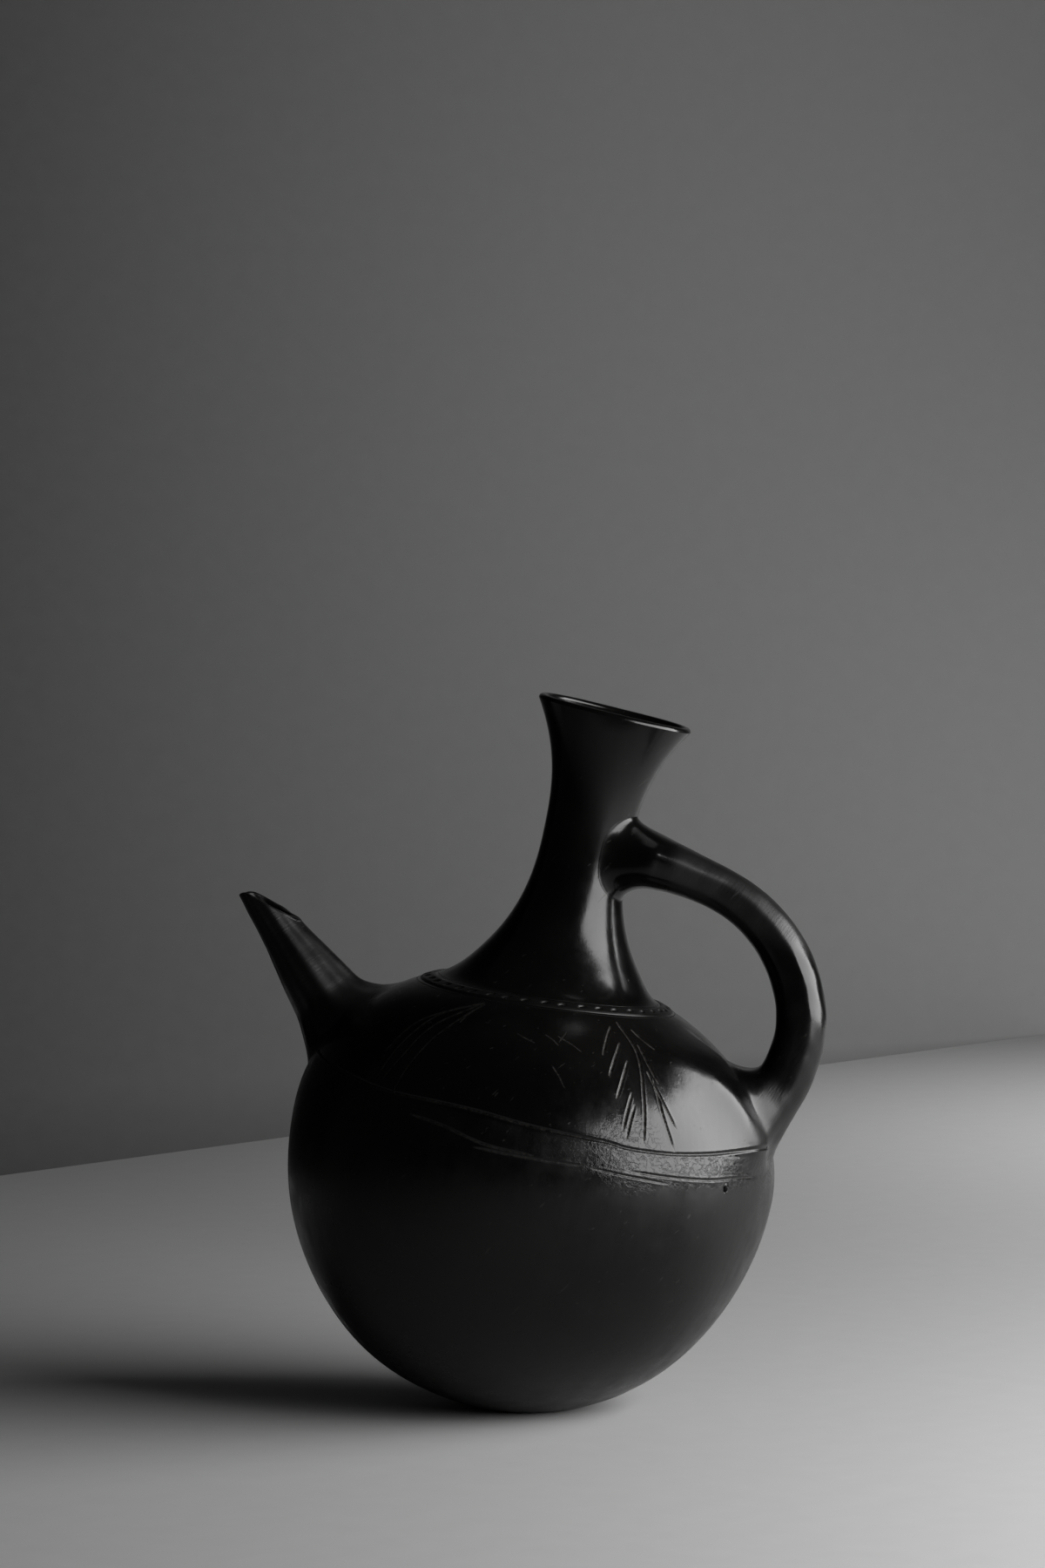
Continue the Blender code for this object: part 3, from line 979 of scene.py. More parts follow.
    def roughness(
        self, graph: Graph, upright: bpy.types.NodeSocket, places: ClayPlaces, skin: ClaySkin
    ) -> Term:
        """Rub the clay above the band to a gloss, unevenly.

        Args:
            graph: The material's tree.
            upright: The point, with the pot turned upright.
            places: Where it lies.
            skin: The patterns of the skin.

        Returns:
            The roughness.
        """
        mottle = graph.noise(upright, scale=120.0, detail=4.0, rough=0.6)
        rough = self.matt - places.above * (self.matt - self.gloss)
        rough = rough - places.raw * (1.0 - places.above) * self.raw_gloss
        rough = rough + (skin.rubbing - 0.5) * self.rubbing_rough + (skin.cloud - 0.5) * self.cloud_rough
        rough = rough + (mottle - 0.5) * (self.mottle_rough - places.above * self.mottle_eased)
        rough = rough + skin.groove * self.groove_rough + skin.scratch * self.scratch_rough
        return rough + places.spout * self.spout_rough + places.handle * self.handle_rough

    def relief(
        self, graph: Graph, upright: bpy.types.NodeSocket, places: ClayPlaces, skin: ClaySkin
    ) -> Term:
        """Raise the rubbing strokes, the pores and fissures of raw clay and the ridges of the pulled parts.

        Args:
            graph: The material's tree.
            upright: The point, with the pot turned upright.
            places: Where it lies.
            skin: The patterns of the skin.

        Returns:
            The height.
        """
        pores, grain, scratch = (
            everywhere + places.raw * added
            for everywhere, added in (self.pore_relief, self.grain_relief, self.scratch_relief)
        )
        vein = (graph.noise(upright, scale=420.0, detail=4.0, rough=0.6) - 0.5).math("ABSOLUTE")
        fissure = 1.0 - graph.ramp(vein, 0.0, 0.035)
        spout = graph.stretched(upright, (0.0, Spout.rise - math.pi / 2.0, 0.0), (240.0, 240.0, 2400.0))
        handle = graph.stretched(upright, (0.0, self.arch_turn, 0.0), (200.0, 200.0, 1600.0))
        relief = skin.rubbing * self.rubbing_relief + skin.cloud * self.cloud_relief
        relief = relief + skin.pores * pores + skin.grain * grain - skin.scratch * scratch
        relief = relief - fissure * places.raw * self.fissure_relief
        return relief + places.spout * spout + places.handle * handle * self.handle_relief


@dataclass(frozen=True)
class BallBody:
    """The bowl and the shoulder, with the incised band and fans."""

    ball: Ball
    smear: Smear
    seam_level: float = 12.5 * MM
    seam_slant: float = 3.5 * MM
    top_radius: float = 30.0 * MM
    bowl_steps: int = 256
    shoulder_steps: int = 400
    bowl_rows: tuple[int, int] = (96, 22)
    shoulder_rows: tuple[int, int] = (72, 12)
    skin_share: float = 0.01
    stroke_reaches: tuple[float, float] = (1.6 * MM, 1.0 * MM)
    pit_place: tuple[float, float] = (-29.8, 13.6)
    pit_radius: float = 0.8 * MM
    pit_depth: float = 1.3 * MM

    def build(self, shop: Modeller, finish: ClayFinish, spout: "Spout") -> None:
        """Build both shells."""
        self.build_bowl(shop, finish)
        self.build_shoulder(shop, finish, spout)

    def build_bowl(self, shop: Modeller, finish: ClayFinish) -> None:
        """Turn the bowl, closed with its inner wall.

        Args:
            shop: The modeller.
            finish: The finish.
        """
        ball = self.ball
        low = -math.pi / 2.0
        seam, inner_seam = self.seams()
        outer_rows, inner_rows = self.bowl_rows
        outline = ball.outline(low, seam, 0.0, 0.0, outer_rows)
        outline += ball.outline(inner_seam, low, ball.wall, ball.base_wall, inner_rows)
        obj = shop.turned("bowl", outline, self.bowl_steps)
        shop.mark(obj, "groove", np.zeros(len(obj.data.vertices)))
        shop.place(obj, finish, "body_bowl")

    def build_shoulder(self, shop: Modeller, finish: ClayFinish, spout: "Spout") -> None:
        """Turn the shoulder, open it for the spout and press the strokes into its skin.

        Args:
            shop: The modeller.
            finish: The finish.
            spout: The spout that it is opened for.
        """
        ball = self.ball
        seam, inner_seam = self.seams()
        top = math.acos(self.top_radius / ball.radius)
        outer_rows, inner_rows = self.shoulder_rows
        outline = ball.outline(seam, top, 0.0, 0.0, outer_rows)
        outline += ball.outline(top, inner_seam, ball.wall, ball.wall, inner_rows)
        outline.append(outline[0])
        obj = shop.turned("shoulder", outline, self.shoulder_steps)
        shop.remove(obj, spout.off_axis(shop.middles(obj)) < spout.hole_radius)

        engraving = Engraving(ball, self.strokes())
        for reach in self.stroke_reaches:
            middles = shop.middles(obj)
            near = self.on_skin(middles)
            distance = np.full(len(middles), 1.0)
            distance[near] = engraving.nearest(middles[near])[0]
            shop.refine(obj, distance < reach, 1)

        points = shop.points(obj)
        skin = self.on_skin(points)
        points[skin] = ball.snap(points[skin])
        groove = np.zeros(len(points))
        depth, groove[skin] = engraving.press(points[skin])
        out = ball.normal(points[skin])
        points[skin] += out * (self.smear.height(points[skin]) - depth)[:, None]
        shop.set_points(obj, points)
        shop.mark(obj, "groove", groove)
        shop.place(obj, finish, "body_shoulder")

    def seams(self) -> tuple[float, float]:
        """Angles of the slanted seam between the shells, outside and inside."""
        inner_level = self.seam_level + self.seam_slant
        return self.ball.angle_at(self.seam_level), self.ball.angle_at(inner_level, self.ball.wall)

    def on_skin(self, points: np.ndarray) -> np.ndarray:
        """True for points on the outer side of the wall."""
        return np.abs(self.ball.value(points) - 1.0) < self.skin_share

    def strokes(self) -> list[Stroke]:
        """Lay out the decoration: azimuths in degrees and levels in millimetres.

        Returns:
            Every stroke of it.
        """
        ring = (
            (-180, 23.8), (-160, 23.9), (-140.6, 23.5), (-126.8, 22.9), (-117.7, 22.9),
            (-108.3, 23.7), (-95.8, 24.5), (-83.7, 24.1), (-70.2, 23.8), (-65.0, 23.6), (-59.5, 22.7),
            (-48.5, 22.6), (-35.6, 23.4), (-24.6, 24.2), (-12.1, 24.5), (10, 24.0), (40, 23.3),
            (75, 24.2), (110, 23.1), (150, 23.9), (180, 23.8),
        )
        lower = (
            ((-58.6, 16.3), (-49.0, 16.0), (-35.9, 16.1), (-26.7, 16.7), (-15.9, 17.0)),
            ((-68.0, 15.5), (-60.8, 14.9), (-54.7, 14.5), (-49.0, 14.1)),
            ((-112.0, 18.4), (-102.4, 17.9), (-92.0, 16.1), (-81.2, 16.1)),
            ((-94.4, 14.6), (-83.7, 15.1), (-70.3, 15.8)),
            ((15.0, 16.9), (45.0, 15.6), (80.0, 16.3), (112.0, 15.4)),
            ((104.0, 16.6), (130.0, 16.2), (152.0, 17.3)),
        )
        right_fan = (
            ((-60.6, 53.1), (-63.6, 50.0), (-66.0, 46.2)),
            ((-58.6, 49.7), (-61.8, 45.9), (-64.6, 41.4)),
            ((-57.4, 45.7), (-60.4, 41.0), (-62.9, 35.8)),
            ((-58.1, 37.9), (-60.2, 32.5), (-61.5, 27.3)),
            ((-57.7, 34.8), (-59.4, 30.0), (-60.5, 24.9)),
            ((-56.5, 54.3), (-53.4, 50.4), (-52.8, 46.2), (-54.5, 36.8), (-55.9, 24.6)),
            ((-50.6, 53.1), (-48.0, 51.2), (-45.1, 49.0)),
            ((-51.1, 49.7), (-49.9, 45.4), (-48.2, 41.1)),
            ((-51.1, 43.6), (-48.6, 37.4), (-45.5, 29.6)),
            ((-49.8, 41.6), (-49.1, 32.9), (-47.1, 23.8)),
        )
        left_fan = (
            ((-114.0, 52.2), (-121.9, 48.4), (-125.3, 44.1), (-126.5, 36.4), (-126.4, 26.2)),
            ((-114.5, 51.9), (-121.8, 43.5), (-123.1, 32.9), (-124.3, 25.4)),
            ((-113.6, 51.8), (-117.9, 41.2), (-119.1, 31.1), (-119.1, 23.0)),
            ((-113.2, 52.0), (-114.6, 48.9), (-114.8, 45.8)),
            ((-114.2, 52.3), (-127.7, 44.1), (-129.7, 32.9)),
        )
        strokes = [Stroke(ring, half_width=0.60 * MM, depth=0.40 * MM, fade=0.1 * MM, dusty=0.3)]
        for line in lower:
            strokes.append(Stroke(line, half_width=0.50 * MM, depth=0.28 * MM, fade=5.0 * MM, dusty=0.35))
        for line in right_fan:
            strokes.append(Stroke(line, half_width=0.46 * MM, depth=0.32 * MM))
        for line in left_fan:
            strokes.append(Stroke(line, half_width=0.40 * MM, depth=0.18 * MM, fade=2.0 * MM, dusty=0.35))
        for turn, fan in ((1.5, right_fan), (-2.0, left_fan)):
            for azimuth_line in fan:
                line = tuple((turn - azimuth, level) for azimuth, level in azimuth_line)
                strokes.append(Stroke(line, half_width=0.44 * MM, depth=0.28 * MM))
        scratches = (
            ((-94.8, 46.6), (-91.5, 45.9), (-88.7, 45.4)), ((-86.0, 48.0), (-83.0, 47.2), (-81.0, 46.1)),
            ((-81.6, 48.3), (-77.0, 47.2), (-73.3, 45.8)), ((-81.6, 40.7), (-79.3, 38.6), (-77.3, 36.0)),
            ((-78.8, 49.8), (-79.7, 48.5), (-80.9, 47.0)),
        )
        for line in scratches:
            strokes.append(Stroke(line, half_width=0.26 * MM, depth=0.07 * MM, fade=1.5 * MM, dusty=0.6))
        azimuth, level = self.pit_place
        pit = ((azimuth - 0.2, level + 0.6), (azimuth + 0.2, level), (azimuth, level - 0.7))
        strokes.append(Stroke(pit, self.pit_radius, self.pit_depth, fade=0.1 * MM, dusty=0.0))
        return strokes


@dataclass(frozen=True)
class NeckAndMouth:
    """The neck on the shoulder, the flared mouth on the neck and the notched coil round its foot."""

    ball: Ball
    offset: float = -3.5 * MM
    foot_level: float = 57.3 * MM
    foot_radius: float = 32.0 * MM
    waist_level: float = 105.0 * MM
    waist_radius: float = 13.3 * MM
    rim_level: float = 142.6 * MM
    rim_radius: float = 23.6 * MM
    sweep: float = 2.45
    wall: float = 4.2 * MM
    lip_wall: float = 2.6 * MM
    joint_level: float = 117.5 * MM
    skirt_level: float = 67.0 * MM
    rim_tilt: float = math.radians(2.3)
    skirt_pull: float = 0.9
    skirt_lap: float = 0.6 * MM
    joint_lap: float = 2.0 * MM
    neck_rows: tuple[int, int, int] = (66, 26, 24)
    mouth_rows: tuple[int, int, int] = (42, 10, 30)
    collar_shift: float = -4.8 * MM
    collar_radius: float = 37.0 * MM
    collar_tilt: float = math.radians(-3.3)
    collar_half: float = 3.3 * MM
    collar_lines: float = 2.35 * MM
    collar_rise: float = 0.42
    collar_lift: float = 0.05 * MM
    collar_rows: int = 44
    coil_height: float = 0.34 * MM
    coil_fade: tuple[float, float] = (1.2 * MM, 2.2 * MM)
    edge_width: float = 0.35 * MM
    edge_drop: float = 0.9 * MM
    line_half: float = 0.40 * MM
    line_depth: float = 0.34 * MM
    line_bare: float = 0.8
    dots: int = 41
    dot_steps: int = 16
    dot_half: tuple[float, float] = (1.35 * MM, 0.95 * MM)
    dot_sway: tuple[float, float] = (0.25 * MM, 0.15 * MM)
    dot_lean: float = 0.5
    dot_depth: float = 0.62 * MM
    dot_bare: float = 0.6
    steps: int = 192

    def radius_at(self, level: np.ndarray) -> np.ndarray:
        """Outer radius at a level: it sweeps out both ways from the waist.

        Args:
            level: The level.

        Returns:
            The radius.
        """
        down = np.clip((self.waist_level - level) / (self.waist_level - self.foot_level), 0.0, None)
        up = np.clip((level - self.waist_level) / (self.rim_level - self.waist_level), 0.0, None)
        return (
            self.waist_radius
            + (self.foot_radius - self.waist_radius) * down**self.sweep
            + (self.rim_radius - self.waist_radius) * up**self.sweep
        )

    def slope_at(self, level: np.ndarray) -> np.ndarray:
        """Change of the radius with the level."""
        probe = 0.05 * MM
        return (self.radius_at(level + probe) - self.radius_at(level - probe)) / (2.0 * probe)

    def ring(self, level: float, depth: float) -> np.ndarray:
        """A ring of points on the neck.

        Args:
            level: Its level.
            depth: How far inside the surface it lies.

        Returns:
            The points.
        """
        slope = float(self.slope_at(np.array(level)))
        length = math.hypot(1.0, slope)
        radius = float(self.radius_at(np.array(level))) - depth / length
        return self.circle(radius, level + depth * slope / length)

    def circle(self, radius: float, level: float) -> np.ndarray:
        """A ring of points round the neck's axis, tilted as the rim is.

        Args:
            radius: Its radius.
            level: Its level.

        Returns:
            The points.
        """
        turn = np.linspace(0.0, 2.0 * math.pi, self.steps, endpoint=False)
        x = radius * np.cos(turn)
        share = max(0.0, (level - self.waist_level) / (self.rim_level - self.waist_level))
        z = level - x * math.sin(self.rim_tilt) * share**2
        return np.stack([x + self.offset, radius * np.sin(turn), z], axis=1)

    def place(self, turn: np.ndarray, level: np.ndarray) -> np.ndarray:
        """Places on the neck's surface."""
        radius = self.radius_at(level)
        return np.stack([self.offset + radius * np.cos(turn), radius * np.sin(turn), level], axis=-1)

    def normal(self, turn: np.ndarray, level: np.ndarray) -> np.ndarray:
        """Outward directions of the neck's surface."""
        return unit(np.stack([np.cos(turn), np.sin(turn), -self.slope_at(level)], axis=-1))

    def collar_ring(self, across: float, steps: int) -> np.ndarray:
        """A ring on the dome, beside the collar's middle line.

        Args:
            across: Distance outside that line.
            steps: Steps round.

        Returns:
            The points.
        """
        turn = np.linspace(0.0, 2.0 * math.pi, steps, endpoint=False)
        radius = self.collar_radius + across
        reach = radius * (1.0 + math.tan(self.collar_tilt) * self.collar_rise * np.cos(turn))
        x = self.collar_shift + reach * np.cos(turn)
        y = reach * np.sin(turn)
        return np.stack([x, y, self.ball.level_at(np.hypot(x, y))], axis=1)

    def build(self, shop: Modeller, finish: ClayFinish, notched: ClayFinish) -> None:
        """Build the neck, the mouth and the collar.

        Args:
            shop: The modeller.
            finish: Finish of the neck and the mouth.
            notched: Finish of the collar.
        """
        self.build_neck(shop, finish)
        self.build_mouth(shop, finish)
        self.build_collar(shop, notched)

    def build_neck(self, shop: Modeller, finish: ClayFinish) -> None:
        """Sweep the neck down to a skirt that runs out on the dome, and back up inside.

        Args:
            shop: The modeller.
            finish: The finish.
        """
        outer_rows, skirt_rows, inner_rows = self.neck_rows
        levels = np.linspace(self.joint_level, self.skirt_level, outer_rows)
        outer = [self.ring(level, 0.0) for level in levels]
        start = outer[-1]
        leave = unit(outer[-1] - outer[-2])
        landing = self.collar_ring(-self.collar_half + self.skirt_lap, self.steps)
        normal = self.ball.normal(landing)
        away = along_skin(landing - np.array([self.collar_shift, 0.0, 0.0]), normal)
        chord = np.linalg.norm(landing - start, axis=1, keepdims=True)
        skirt = bridge(start, leave * chord, landing, away * chord * self.skirt_pull, skirt_rows)
        low, high = self.foot_level + 1.0 * MM, self.joint_level + self.joint_lap
        inner = [self.ring(level, self.wall) for level in np.linspace(low, high, inner_rows)]
        rows = np.concatenate([outer, skirt[1:], sunk_edge(landing, away, normal), inner, outer[:1]])
        shop.place(shop.wrapped("neck_tube", rows), finish, "neck")

    def build_mouth(self, shop: Modeller, finish: ClayFinish) -> None:
        """Sweep the mouth up to a thin rounded lip and back down inside.

        Args:
            shop: The modeller.
            finish: The finish.
        """
        outer_rows, lip_rows, inner_rows = self.mouth_rows
        levels = np.linspace(self.joint_level, self.rim_level, outer_rows)
        outer = [self.ring(level, 0.0) for level in levels]
        half = self.lip_wall / 2.0
        lip = []
        for turn in np.linspace(0.0, math.pi, lip_rows + 1)[1:]:
            radius = self.rim_radius - half + half * math.cos(turn)
            lip.append(self.circle(radius, self.rim_level + half * math.sin(turn)))
        inner = []
        for share in np.linspace(0.05, 1.0, inner_rows):
            level = self.rim_level + (self.joint_level + self.joint_lap - self.rim_level) * share
            inner.append(self.ring(level, self.lip_wall + (self.wall - self.lip_wall) * share))
        rows = np.concatenate([outer, lip, inner, outer[:1]])
        shop.place(shop.wrapped("mouth", rows), finish, "mouth_flare")

    def build_collar(self, shop: Modeller, finish: ClayFinish) -> None:
        """Lay the coil on the dome.

        Args:
            shop: The modeller.
            finish: The finish.
        """
        columns = self.dots * self.dot_steps
        rows, grooves = [], []
        for reach in np.linspace(-self.collar_half, self.collar_half, self.collar_rows + 1):
            ring = self.collar_ring(reach, columns)
            height, groove = self.coil(reach, columns)
            rows.append(ring + self.ball.normal(ring) * height[:, None])
            grooves.append(groove)
        obj = shop.wrapped("notched_collar", np.array(rows))
        nearest = nearest_index(np.concatenate(rows), shop.points(obj))
        shop.mark(obj, "groove", np.concatenate(grooves)[nearest])
        shop.place(obj, finish, "neck_collar")

    def coil(self, reach: float, columns: int) -> tuple[np.ndarray, np.ndarray]:
        """One ring of the coil, with a fine line on each side and a row of slanted dots.

        Args:
            reach: Distance outside the coil's middle line.
            columns: Steps round.

        Returns:
            Height over the dome, and 0 to 1 for the bare groove, at each step.
        """
        beside = abs(reach)
        body = self.coil_height * (1.0 - smooth_step(beside, *self.coil_fade))
        edge = self.edge_drop * smooth_step(beside, self.collar_half - self.edge_width, self.collar_half)
        line = np.clip(1.0 - ((beside - self.collar_lines) / self.line_half) ** 2, 0.0, 1.0)
        number = np.arange(columns) / self.dot_steps
        along = (number % 1.0 - 0.5) * 2.0 * math.pi * self.collar_radius / self.dots
        uneven = np.sin(np.floor(number) * 2.4)
        slant = (along + self.dot_lean * reach + self.dot_sway[0] * uneven) / self.dot_half[0]
        across = (reach - self.dot_sway[1] * uneven) / self.dot_half[1]
        dot = np.clip(1.0 - slant**2 - across**2, 0.0, 1.0)
        height = self.collar_lift + body - edge - self.line_depth * line - self.dot_depth * dot
        return height, np.clip(line * self.line_bare + dot * self.dot_bare, 0.0, 1.0)


@dataclass(frozen=True)
class Spout:
    """The tapering spout: a flared foot on the shoulder and a tube cut slantwise at its tip."""

    ball: Ball
    root: tuple[float, float] = (-66.4 * MM, 32.2 * MM)
    rise: float = math.radians(43.1)
    joint: float = 9.5 * MM
    tip_reach: float = 50.0 * MM
    mouth_reach: float = 34.3 * MM
    mouth_side: float = 5.7 * MM
    mouth_slope: float = -0.528
    hole_radius: float = 7.6 * MM
    hole_depth: float = 20.0 * MM
    bore_start: float = -9.0 * MM
    lip_swell: float = 0.45 * MM
    lip_slant: tuple[float, float] = (0.45, 0.9)
    mouth_soft: float = 1.1 * MM
    mouth_passes: int = 40
    foot_spread: tuple[float, float, float] = (16.9 * MM, 6.6 * MM, 1.6 * MM)
    foot_sweep: float = 1.4
    foot_leave: float = 0.95
    foot_pull: tuple[float, float] = (0.22, 0.95)
    foot_rows: tuple[int, int] = (40, 8)
    tube_rows: tuple[int, int, int] = (56, 9, 28)
    facets: int = 11
    facet_turn: float = math.radians(25.0)
    facet_depth: float = 0.020
    steps: int = 176

    def axes(self) -> tuple[np.ndarray, np.ndarray, np.ndarray]:
        """Find the tube's own axes.

        Returns:
            The root point, the direction of the axis and the direction of the tube's upper side.
        """
        cos, sin = math.cos(self.rise), math.sin(self.rise)
        root = np.array([self.root[0], 0.0, self.root[1]])
        return root, np.array([-cos, 0.0, sin]), np.array([sin, 0.0, cos])

    def off_axis(self, points: np.ndarray) -> np.ndarray:
        """Distance of points from the axis.

        Args:
            points: The points.

        Returns:
            The distances, far for points on the other side of the pot.
        """
        root, along, _ = self.axes()
        offset = points - root
        reach = offset @ along
        away = np.linalg.norm(offset - reach[:, None] * along, axis=1)
        return np.where(np.abs(reach) < self.hole_depth, away, 1.0)

    def spokes(self) -> tuple[np.ndarray, np.ndarray]:
        """Spread spokes round the axis.

        Returns:
            Their angles from the upper side, and their directions.
        """
        turn = np.linspace(0.0, 2.0 * math.pi, self.steps, endpoint=False)
        side = np.array([0.0, -1.0, 0.0])
        _, _, upper = self.axes()
        return turn, np.cos(turn)[:, None] * upper + np.sin(turn)[:, None] * side

    def outer(self, reach: np.ndarray) -> np.ndarray:
        """Outer radius of the tube.

        Args:
            reach: Reach along the axis.

        Returns:
            The radius there.
        """
        places = np.array([-9.0, 9.5, 15.0, 20.0, 25.0, 30.0, 35.0, 40.0, 45.0, 50.0, 58.0]) * MM
        radii = np.array([14.6, 11.0, 10.05, 9.15, 8.2, 7.25, 6.55, 6.0, 5.5, 5.0, 4.2]) * MM
        fine = spline(np.stack([places, radii], axis=1), 8)
        return np.interp(reach, fine[:, 0], fine[:, 1])

    def bore(self, reach: np.ndarray) -> np.ndarray:
        """Radius of the way through the tube.

        Args:
            reach: Reach along the axis.

        Returns:
            The radius there.
        """
        places = np.array([-10.0, 9.5, 20.0, 34.0, 50.0]) * MM
        radii = np.array([7.8, 7.4, 6.6, 5.1, 3.4]) * MM
        return np.interp(reach, places, radii)

    def ends(self, radius: Callable[[np.ndarray], np.ndarray], limit: float) -> np.ndarray:
        """Reach at which each line along the tube meets the slanted mouth.

        Args:
            radius: Function that gives the tube's radius at a reach.
            limit: Reach of the blunt tip.

        Returns:
            The reach for each spoke.
        """
        turn, _ = self.spokes()
        reach = np.full(len(turn), self.mouth_reach)
        for _ in range(self.mouth_passes):
            reach = self.mouth_reach + (radius(reach) * np.cos(turn) - self.mouth_side) / self.mouth_slope
        return -self.mouth_soft * np.logaddexp(-reach / self.mouth_soft, -limit / self.mouth_soft)

    def tube(self, reach: np.ndarray, radius: np.ndarray) -> np.ndarray:
        """A ring of points, a little flattened into lengthwise facets.

        Args:
            reach: Their reaches along the axis.
            radius: Their radii.

        Returns:
            The points.
        """
        root, along, _ = self.axes()
        turn, out = self.spokes()
        radius = radius * (1.0 - self.facet_depth * np.cos(self.facets * (turn - self.facet_turn)))
        return root + np.multiply.outer(reach, along) + out * np.reshape(radius, (-1, 1))

    def build(self, shop: Modeller, finish: ClayFinish) -> None:
        """Build the foot and the tube."""
        self.build_foot(shop, finish)
        self.build_tube(shop, finish)

    def build_foot(self, shop: Modeller, finish: ClayFinish) -> None:
        """Flare the tube's root out onto the ball: softly above, in a crease below.

        Args:
            shop: The modeller.
            finish: The finish.
        """
        root, along, _ = self.axes()
        turn, out = self.spokes()
        same = np.full(self.steps, self.joint)
        start = self.tube(same, self.outer(same))
        probe = same - 0.5 * MM
        leave = unit(self.tube(probe, self.outer(probe)) - start)
        upper = 0.5 + 0.5 * np.cos(turn)
        least, above, beside = self.foot_spread
        spread = least + above * upper**self.foot_sweep + beside * np.sin(turn) ** 2
        landing = self.ball.hit(root + out * spread[:, None] - along * self.hole_depth, along)
        normal = self.ball.normal(landing)
        away = along_skin(out, normal)
        chord = np.linalg.norm(landing - start, axis=1, keepdims=True)
        pull = (self.foot_pull[0] + self.foot_pull[1] * upper)[:, None]
        skirt_rows, bore_rows = self.foot_rows
        skirt = bridge(start, leave * chord * self.foot_leave, landing, away * chord * pull, skirt_rows)
        bore = []
        for reach in np.linspace(self.bore_start, self.joint, bore_rows):
            same = np.full(self.steps, reach)
            bore.append(self.tube(same, self.bore(same)))
        rows = np.concatenate([skirt, sunk_edge(landing, away, normal), bore, skirt[:1]])
        shop.place(shop.wrapped("spout_root", rows), finish, "spout_foot")

    def build_tube(self, shop: Modeller, finish: ClayFinish) -> None:
        """Draw the tube out to its blunt tip, round the lip over and go back down the bore.

        Args:
            shop: The modeller.
            finish: The finish.
        """
        outer_rows, lip_rows, inner_rows = self.tube_rows
        end = self.ends(self.outer, self.tip_reach)
        inner_end = self.ends(self.bore, self.tip_reach - 0.8 * MM)
        outer = []
        for share in np.linspace(0.0, 1.0, outer_rows):
            reach = self.joint + (end - self.joint) * share
            outer.append(self.tube(reach, self.outer(reach)))
        inner = []
        for share in np.linspace(0.0, 1.0, inner_rows):
            reach = inner_end + (self.joint - inner_end) * share
            inner.append(self.tube(reach, self.bore(reach)))
        _, along, upper = self.axes()
        slant = unit(along * self.lip_slant[0] + upper * self.lip_slant[1])
        middle, half = (outer[-1] + inner[0]) / 2.0, (outer[-1] - inner[0]) / 2.0
        swell = np.minimum(np.linalg.norm(half, axis=1, keepdims=True) * 0.75, self.lip_swell)
        lip = []
        for turn in np.linspace(0.0, math.pi, lip_rows + 1)[1:-1]:
            lip.append(middle + half * math.cos(turn) + slant * swell * math.sin(turn))
        rows = np.concatenate([outer, lip, inner, outer[:1]])
        shop.place(shop.wrapped("spout_tube", rows), finish, "spout")


@dataclass(frozen=True)
class RollEnd:
    """An end of the handle's roll: its last ring, the directions of its skin there and its middle."""

    ring: np.ndarray
    leave: np.ndarray
    cap: np.ndarray


@dataclass(frozen=True)
class Seat:
    """Where a wad lands on the pot, column by column.

    It holds a ring on the pot, the pot's outward directions there, the directions away from the wad's
    middle and how softly the wad runs out.
    """

    ring: np.ndarray
    normal: np.ndarray
    out: np.ndarray
    pull: np.ndarray


